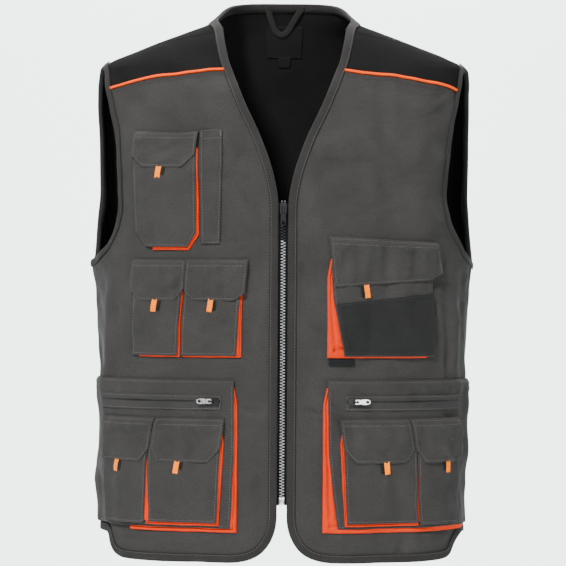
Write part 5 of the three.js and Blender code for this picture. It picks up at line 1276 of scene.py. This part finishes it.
def small_pockets(prefix, side, seed, b_front):
    top = cargo_top - SMALL_DROP
    low = FRONT_TOP + LAYER_GAP
    high = FRONT_TOP + SMALL_DEPTH
    start = SMALL_INNER + SMALL_WIDTH
    inner = (side, top, SMALL_HEIGHT, SMALL_INNER, SMALL_WIDTH)
    outer = (side, top, SMALL_HEIGHT, start, side_arc - SMALL_SIDE_SETBACK - start)
    u, v = np.meshgrid(np.linspace(0, 1, 10), np.linspace(0, 1, 60))
    arc = start + mix(mix(-0.08, -0.085, v), mix(-0.02, 0.05, v), u) * SMALL_WIDTH
    z = top - mix(0.34, 0.995, v) * SMALL_HEIGHT
    wedge = Sheet(f"{prefix}_small_wedge", ORANGE, turn_at(side * arc, z), z,
                  low + 0.25 + 0.3 * np.sin(u * np.pi), 0.6)
    placed(wedge.object, "orange_cloth")
    for part, pocket, front, lid, sewn, at, more in (
            ("a", outer, SMALL_FRONT_A, SMALL_FLAP_A, "top outer", 0.53, 1),
            ("b", inner, b_front, SMALL_FLAP_B, "top", 0.52, 2)):
        bag(f"{prefix}_small_{part}", f"{prefix}_small_front_{part}", pocket, front, seed + more, sewn,
            low, high, puff=0.5)
        flap(f"{prefix}_lid_{part}", f"{prefix}_flap_{part}", pocket, lid, seed + more + 2, low,
             high + CLOTH + FLAP_GAP)
        tab(f"{prefix}_tab_{part}", f"{prefix}_tab_{part}", pocket, at, 0.42, high + CLOTH + SEAM_GAP)
    gusset(f"{prefix}_small_fold", f"{prefix}_small_gusset", inner, SMALL_GUSSET, lambda drop: 5.0, low,
           high - GUSSET_GAP - GUSSET_CLOTH)


# Zips and their metal

def teeth(name, material, spots):
    """Rounded blocks at spots: point, across, up, out and size"""
    ring = [(-1, -1), (1, -1), (1, 1), (-1, 1)]
    levels = ((0.9, 0), (1, 0.35), (1, 0.7), (0.6, 1))
    template = [(x * wide, y * wide, deep) for wide, deep in levels for x, y in ring]
    faces = [(3, 2, 1, 0), (12, 13, 14, 15)]
    for level in (0, 4, 8):
        faces += [(level + k, level + (k + 1) % 4, level + 4 + (k + 1) % 4, level + 4 + k) for k in range(4)]
    points, all_faces = [], []
    for place, across, up, out, (width, tall, deep) in spots:
        start = len(points)
        points += [place + across * x * width / 2 + up * y * tall / 2 + out * d * deep
                   for x, y, d in template]
        all_faces += [tuple(start + k for k in face) for face in faces]
    made = new_object(name, points, all_faces, material, np.zeros((len(points), 2)))
    shade(made.data, False)
    return made


def zip_spots(turn, z, lift, aside, size):
    """Spots along a path, put aside to its two sides in turn"""
    points, normals = place_line(turn, z, lift)
    ways = unit(np.gradient(points, axis=0))
    across = np.cross(ways, normals)
    sides = aside * np.where(np.arange(len(points)) % 2, 1, -1)
    places = points + across * sides[:, None]
    return [(*spot, size) for spot in zip(places, across, ways, normals)]


BAND_INNER = -CLOTH - BAND_GAP - BAND_LEAF
TAPE_LIFT = BAND_INNER - SEAM_GAP - TAPE_THICKNESS
TEETH_LIFT = TAPE_LIFT + TAPE_THICKNESS + SEAM_GAP


def main_zip():
    top, bottom = -ZIP_TOP_DROP, -ZIP_TOP_DROP - ZIP_LENGTH
    z = np.linspace(top, bottom, 120)
    section = [(-TAPE_HALF_WIDTH, 0), (TAPE_HALF_WIDTH, 0), (TAPE_HALF_WIDTH, 1), (4.4, 1.05), (3.6, 1.5),
               (0.3, 1.5), (0, 1.2), (-0.3, 1.5), (-3.6, 1.5), (-4.4, 1.05), (-TAPE_HALF_WIDTH, 1)]
    tape = sweep("zip_tape_cloth", TAPE, np.zeros(len(z)), z, section, lift=TAPE_LIFT)
    placed(tape, "zip_tape", "zip_tape")
    rows = np.arange(top - 1.5, bottom + BOX_HEIGHT + 1, -TEETH_PITCH / 2)
    spots = zip_spots(np.zeros(len(rows)), rows, TEETH_LIFT - 0.1, TEETH_ASIDE,
                      (3.4, 1.7, TEETH_THICKNESS + 0.5))
    place, across, up, out, _ = spots[0]
    for side in (-1, 1):
        stop = place + across * (TEETH_ASIDE + side * 1.9) - up * 2.6
        spots.append((stop, across, up, out, (2.4, 3.4, 2.8)))
    box_z = bottom + BOX_HEIGHT / 2 + BOX_RISE + np.array([1.0, 0, -1.0])
    place, across, up, out, _ = zip_spots(np.zeros(3), box_z, TEETH_LIFT - 0.3, 0.0, None)[1]
    spots.append((place, across, up, out, (BOX_WIDTH, BOX_HEIGHT, TEETH_THICKNESS + 1.2)))
    spots.append((place + out * 2.6, across, up, out, (2.2, BOX_HEIGHT * 0.7, 0.9)))
    # Painted shade: the teeth at the top of the chain, round the slider and pull, are dark metal and the rest
    # are steel
    dark = [spot for spot in spots if spot[0][2] > SHADED_TEETH_END]
    placed(teeth("zip_chain_shaded_top", DARK_METAL, dark), "zip_metal")
    bright = [spot for spot in spots if spot[0][2] <= SHADED_TEETH_END]
    placed(teeth("zip_chain", STEEL, bright), "zip_metal", "zip_teeth")


def dressed(node, name, material, slot, body, bevel=0.35):
    """Rounded copy of a small rigid piece"""
    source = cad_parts[node]
    thing = linked(name, source.data.copy())
    thing.matrix_world = source.matrix_world.copy()
    thing.data.materials.clear()
    thing.data.materials.append(material)
    shade(thing.data)
    rounding = {"width": bevel * MM, "segments": 3, "limit_method": "ANGLE", "angle_limit": 0.5}
    for kind, settings in (("WELD", {"merge_threshold": 0.02 * MM}), ("BEVEL", rounding),
                           ("WEIGHTED_NORMAL", {"keep_sharp": True})):
        modifier = thing.modifiers.new(kind.lower(), kind)
        for key, value in settings.items():
            setattr(modifier, key, value)
    return placed(thing, slot, node, body=body)


# Labels and loop inside the back neck

def back_turn(x, z):
    """Turn of the place at the back that lies at x"""
    near, far = np.full(np.shape(x), 1.4), np.full(np.shape(x), 2.0)
    for _ in range(40):
        middle = (near + far) / 2
        wide = form(middle, z)[..., 0] > np.abs(x)
        near, far = np.where(wide, middle, near), np.where(wide, far, middle)
    return np.where(x >= 0, far, -far)


def neck_pieces():
    neck_top = -LENGTH * float(neck_back_down(2.0))
    lift = -CLOTH - SEAM_GAP - LABEL_THICKNESS
    top = neck_top - LABEL_DROP
    foot = top - LABEL_HEIGHT
    for name, wide, first, last, taper, inward, nodes in (
            ("neck_tag", LABEL_WIDTH / 2, top, foot, 2.0, 0.0, ["neck_label"]),
            ("size_tag", SIZE_TAB_WIDTH / 2, foot + 1, foot - SIZE_TAB_HEIGHT, 0.0, 0.5, [])):
        u, v = np.meshgrid(np.linspace(-1, 1, 26), np.linspace(0, 1, 20))
        x, z = u * (wide - taper * v), mix(first, last, v)
        bow = 0.4 * np.abs(np.sin(u * 2.2)) * np.sin(v * np.pi)
        sheet = Sheet(name, LABEL, back_turn(x, z), z, lift - inward - bow, LABEL_THICKNESS * 0.9)
        placed(sheet.object, "label_cloth", *nodes)
    rows = np.linspace(-LABEL_WIDTH / 2 + 1.6, LABEL_WIDTH / 2 - 1.6, 30)
    for z in (top - 1.4, foot + 1.4):
        points, normals = place_line(back_turn(rows, np.full(30, z)), z, lift - 0.5)
        stitch("dark", (points, -normals))
    corners = np.array([[-1, 0], [-0.72, 0.55], [-0.5, 0.86], [-0.2, 1], [0.12, 0.9], [0.5, 0.5], [1, 0]])
    fine = np.linspace(0, len(corners) - 1, 70)
    across, down = (smoothed(np.interp(fine, np.arange(len(corners)), values), 12) for values in corners.T)
    x, z = across * LOOP_WIDTH / 2, neck_top - SEAM_GAP - down * LOOP_DROP
    strap = LOOP_STRAP / 2
    section = [(-strap, 0.2), (-strap + 0.3, 0), (strap - 0.3, 0), (strap, 0.2), (strap, 1.0),
               (strap - 0.4, 1.3), (strap - 1.2, 1.0), (0, 1.25), (-strap + 1.2, 1.0),
               (-strap + 0.4, 1.3), (-strap, 1.0)]
    loop = sweep("hanger_strap", BINDING, back_turn(x, z), z, section,
                 lift=BAND_INNER - LAYER_GAP - LOOP_THICKNESS)
    placed(loop, "webbing", "hanger_loop")


for side, label in ((-1, "left"), (1, "right")):
    front_panel(side, label)
    front_yoke(side, label)
    piping(side, label)
    armhole_band(side, label)
back_yoke()
back_panel()
edge_band()
main_zip()
neck_pieces()
phone_pocket()
double_pocket()
chest_pocket()
for facts in CARGO_SIDES:
    cargo_pocket(*facts)
dressed("zip_slider", "main_slider", DARK_METAL, "dark_metal", "vest")
dressed("zip_pull", "main_pull_plate", DARK_METAL, "dark_metal", "main_pull", bevel=0.3)
for thread, colour, slot, radius in THREADS:
    material = woven(f"vest_thread_{thread}", colour, thread=0.3, contrast=0.1, wear=0.0, crumple=0.1)
    placed(make_threads(thread, material, radius), slot)

# Floor, light and camera

def stage_mesh(name, points, faces, material):
    mesh = bpy.data.meshes.new(name)
    mesh.from_pydata(points, [], faces)
    mesh.materials.append(material)
    shade(mesh)
    linked(name, mesh)


pale = Nodes("pale_backdrop")
pale_noise = pale.add("ShaderNodeTexNoise", {"Scale": 2.0, "Detail": 2.0}).outputs["Fac"]
pale_colour = pale.blend(pale_noise, linear(BACKDROP_COLOUR), linear([c - 2 for c in BACKDROP_COLOUR]))
pale_material = pale.finish(pale_colour, Specular_IOR_Level=0.0, Roughness=1.0)
profile = [(-6.0, -1.25), (2.0, -1.25)]
profile += [(2.0 + 1.5 * math.sin(a), 0.25 - 1.5 * math.cos(a)) for a in np.linspace(0.1, math.pi / 2, 14)]
profile.append((3.5, 6.0))
backdrop_points = [(x, y, z) for y, z in profile for x in (-7.0, 7.0)]
backdrop_faces = [(2 * i, 2 * i + 1, 2 * i + 3, 2 * i + 2) for i in range(len(profile) - 1)]
stage_mesh("backdrop", backdrop_points, backdrop_faces, pale_material)

world = bpy.data.worlds.new("soft_light")
world.use_nodes = True
background = world.node_tree.nodes["Background"]
background.inputs["Color"].default_value = (0.96, 0.98, 1.0, 1.0)
background.inputs["Strength"].default_value = WORLD_LIGHT
bpy.context.scene.world = world

for name, place, target, size, power in LIGHTS:
    lamp = bpy.data.lights.new(name, "AREA")
    lamp.shape = "DISK"
    lamp.size = size
    lamp.energy = power
    thing = linked(name, lamp)
    away = unit(np.array(place) - np.array(target))
    across = unit(np.cross((0, 0, 1), away))
    turned = np.stack([across, np.cross(away, across), away], 1).tolist()
    thing.matrix_world = Matrix([[*row, at] for row, at in zip(turned, place)] + [[0, 0, 0, 1]])

camera = linked("camera", bpy.data.cameras.new("camera"))
camera.data.sensor_width = 36
camera.data.lens = CAMERA_LENS
camera.data.clip_end = 60
camera.matrix_world = Matrix([
    [math.cos(CAMERA_LEAN), -math.sin(CAMERA_LEAN), 0, 0],
    [0, 0, -1, -CAMERA_AWAY],
    [math.sin(CAMERA_LEAN), math.cos(CAMERA_LEAN), 0, -CAMERA_DROP],
    [0, 0, 0, 1],
])
bpy.context.scene.camera = camera
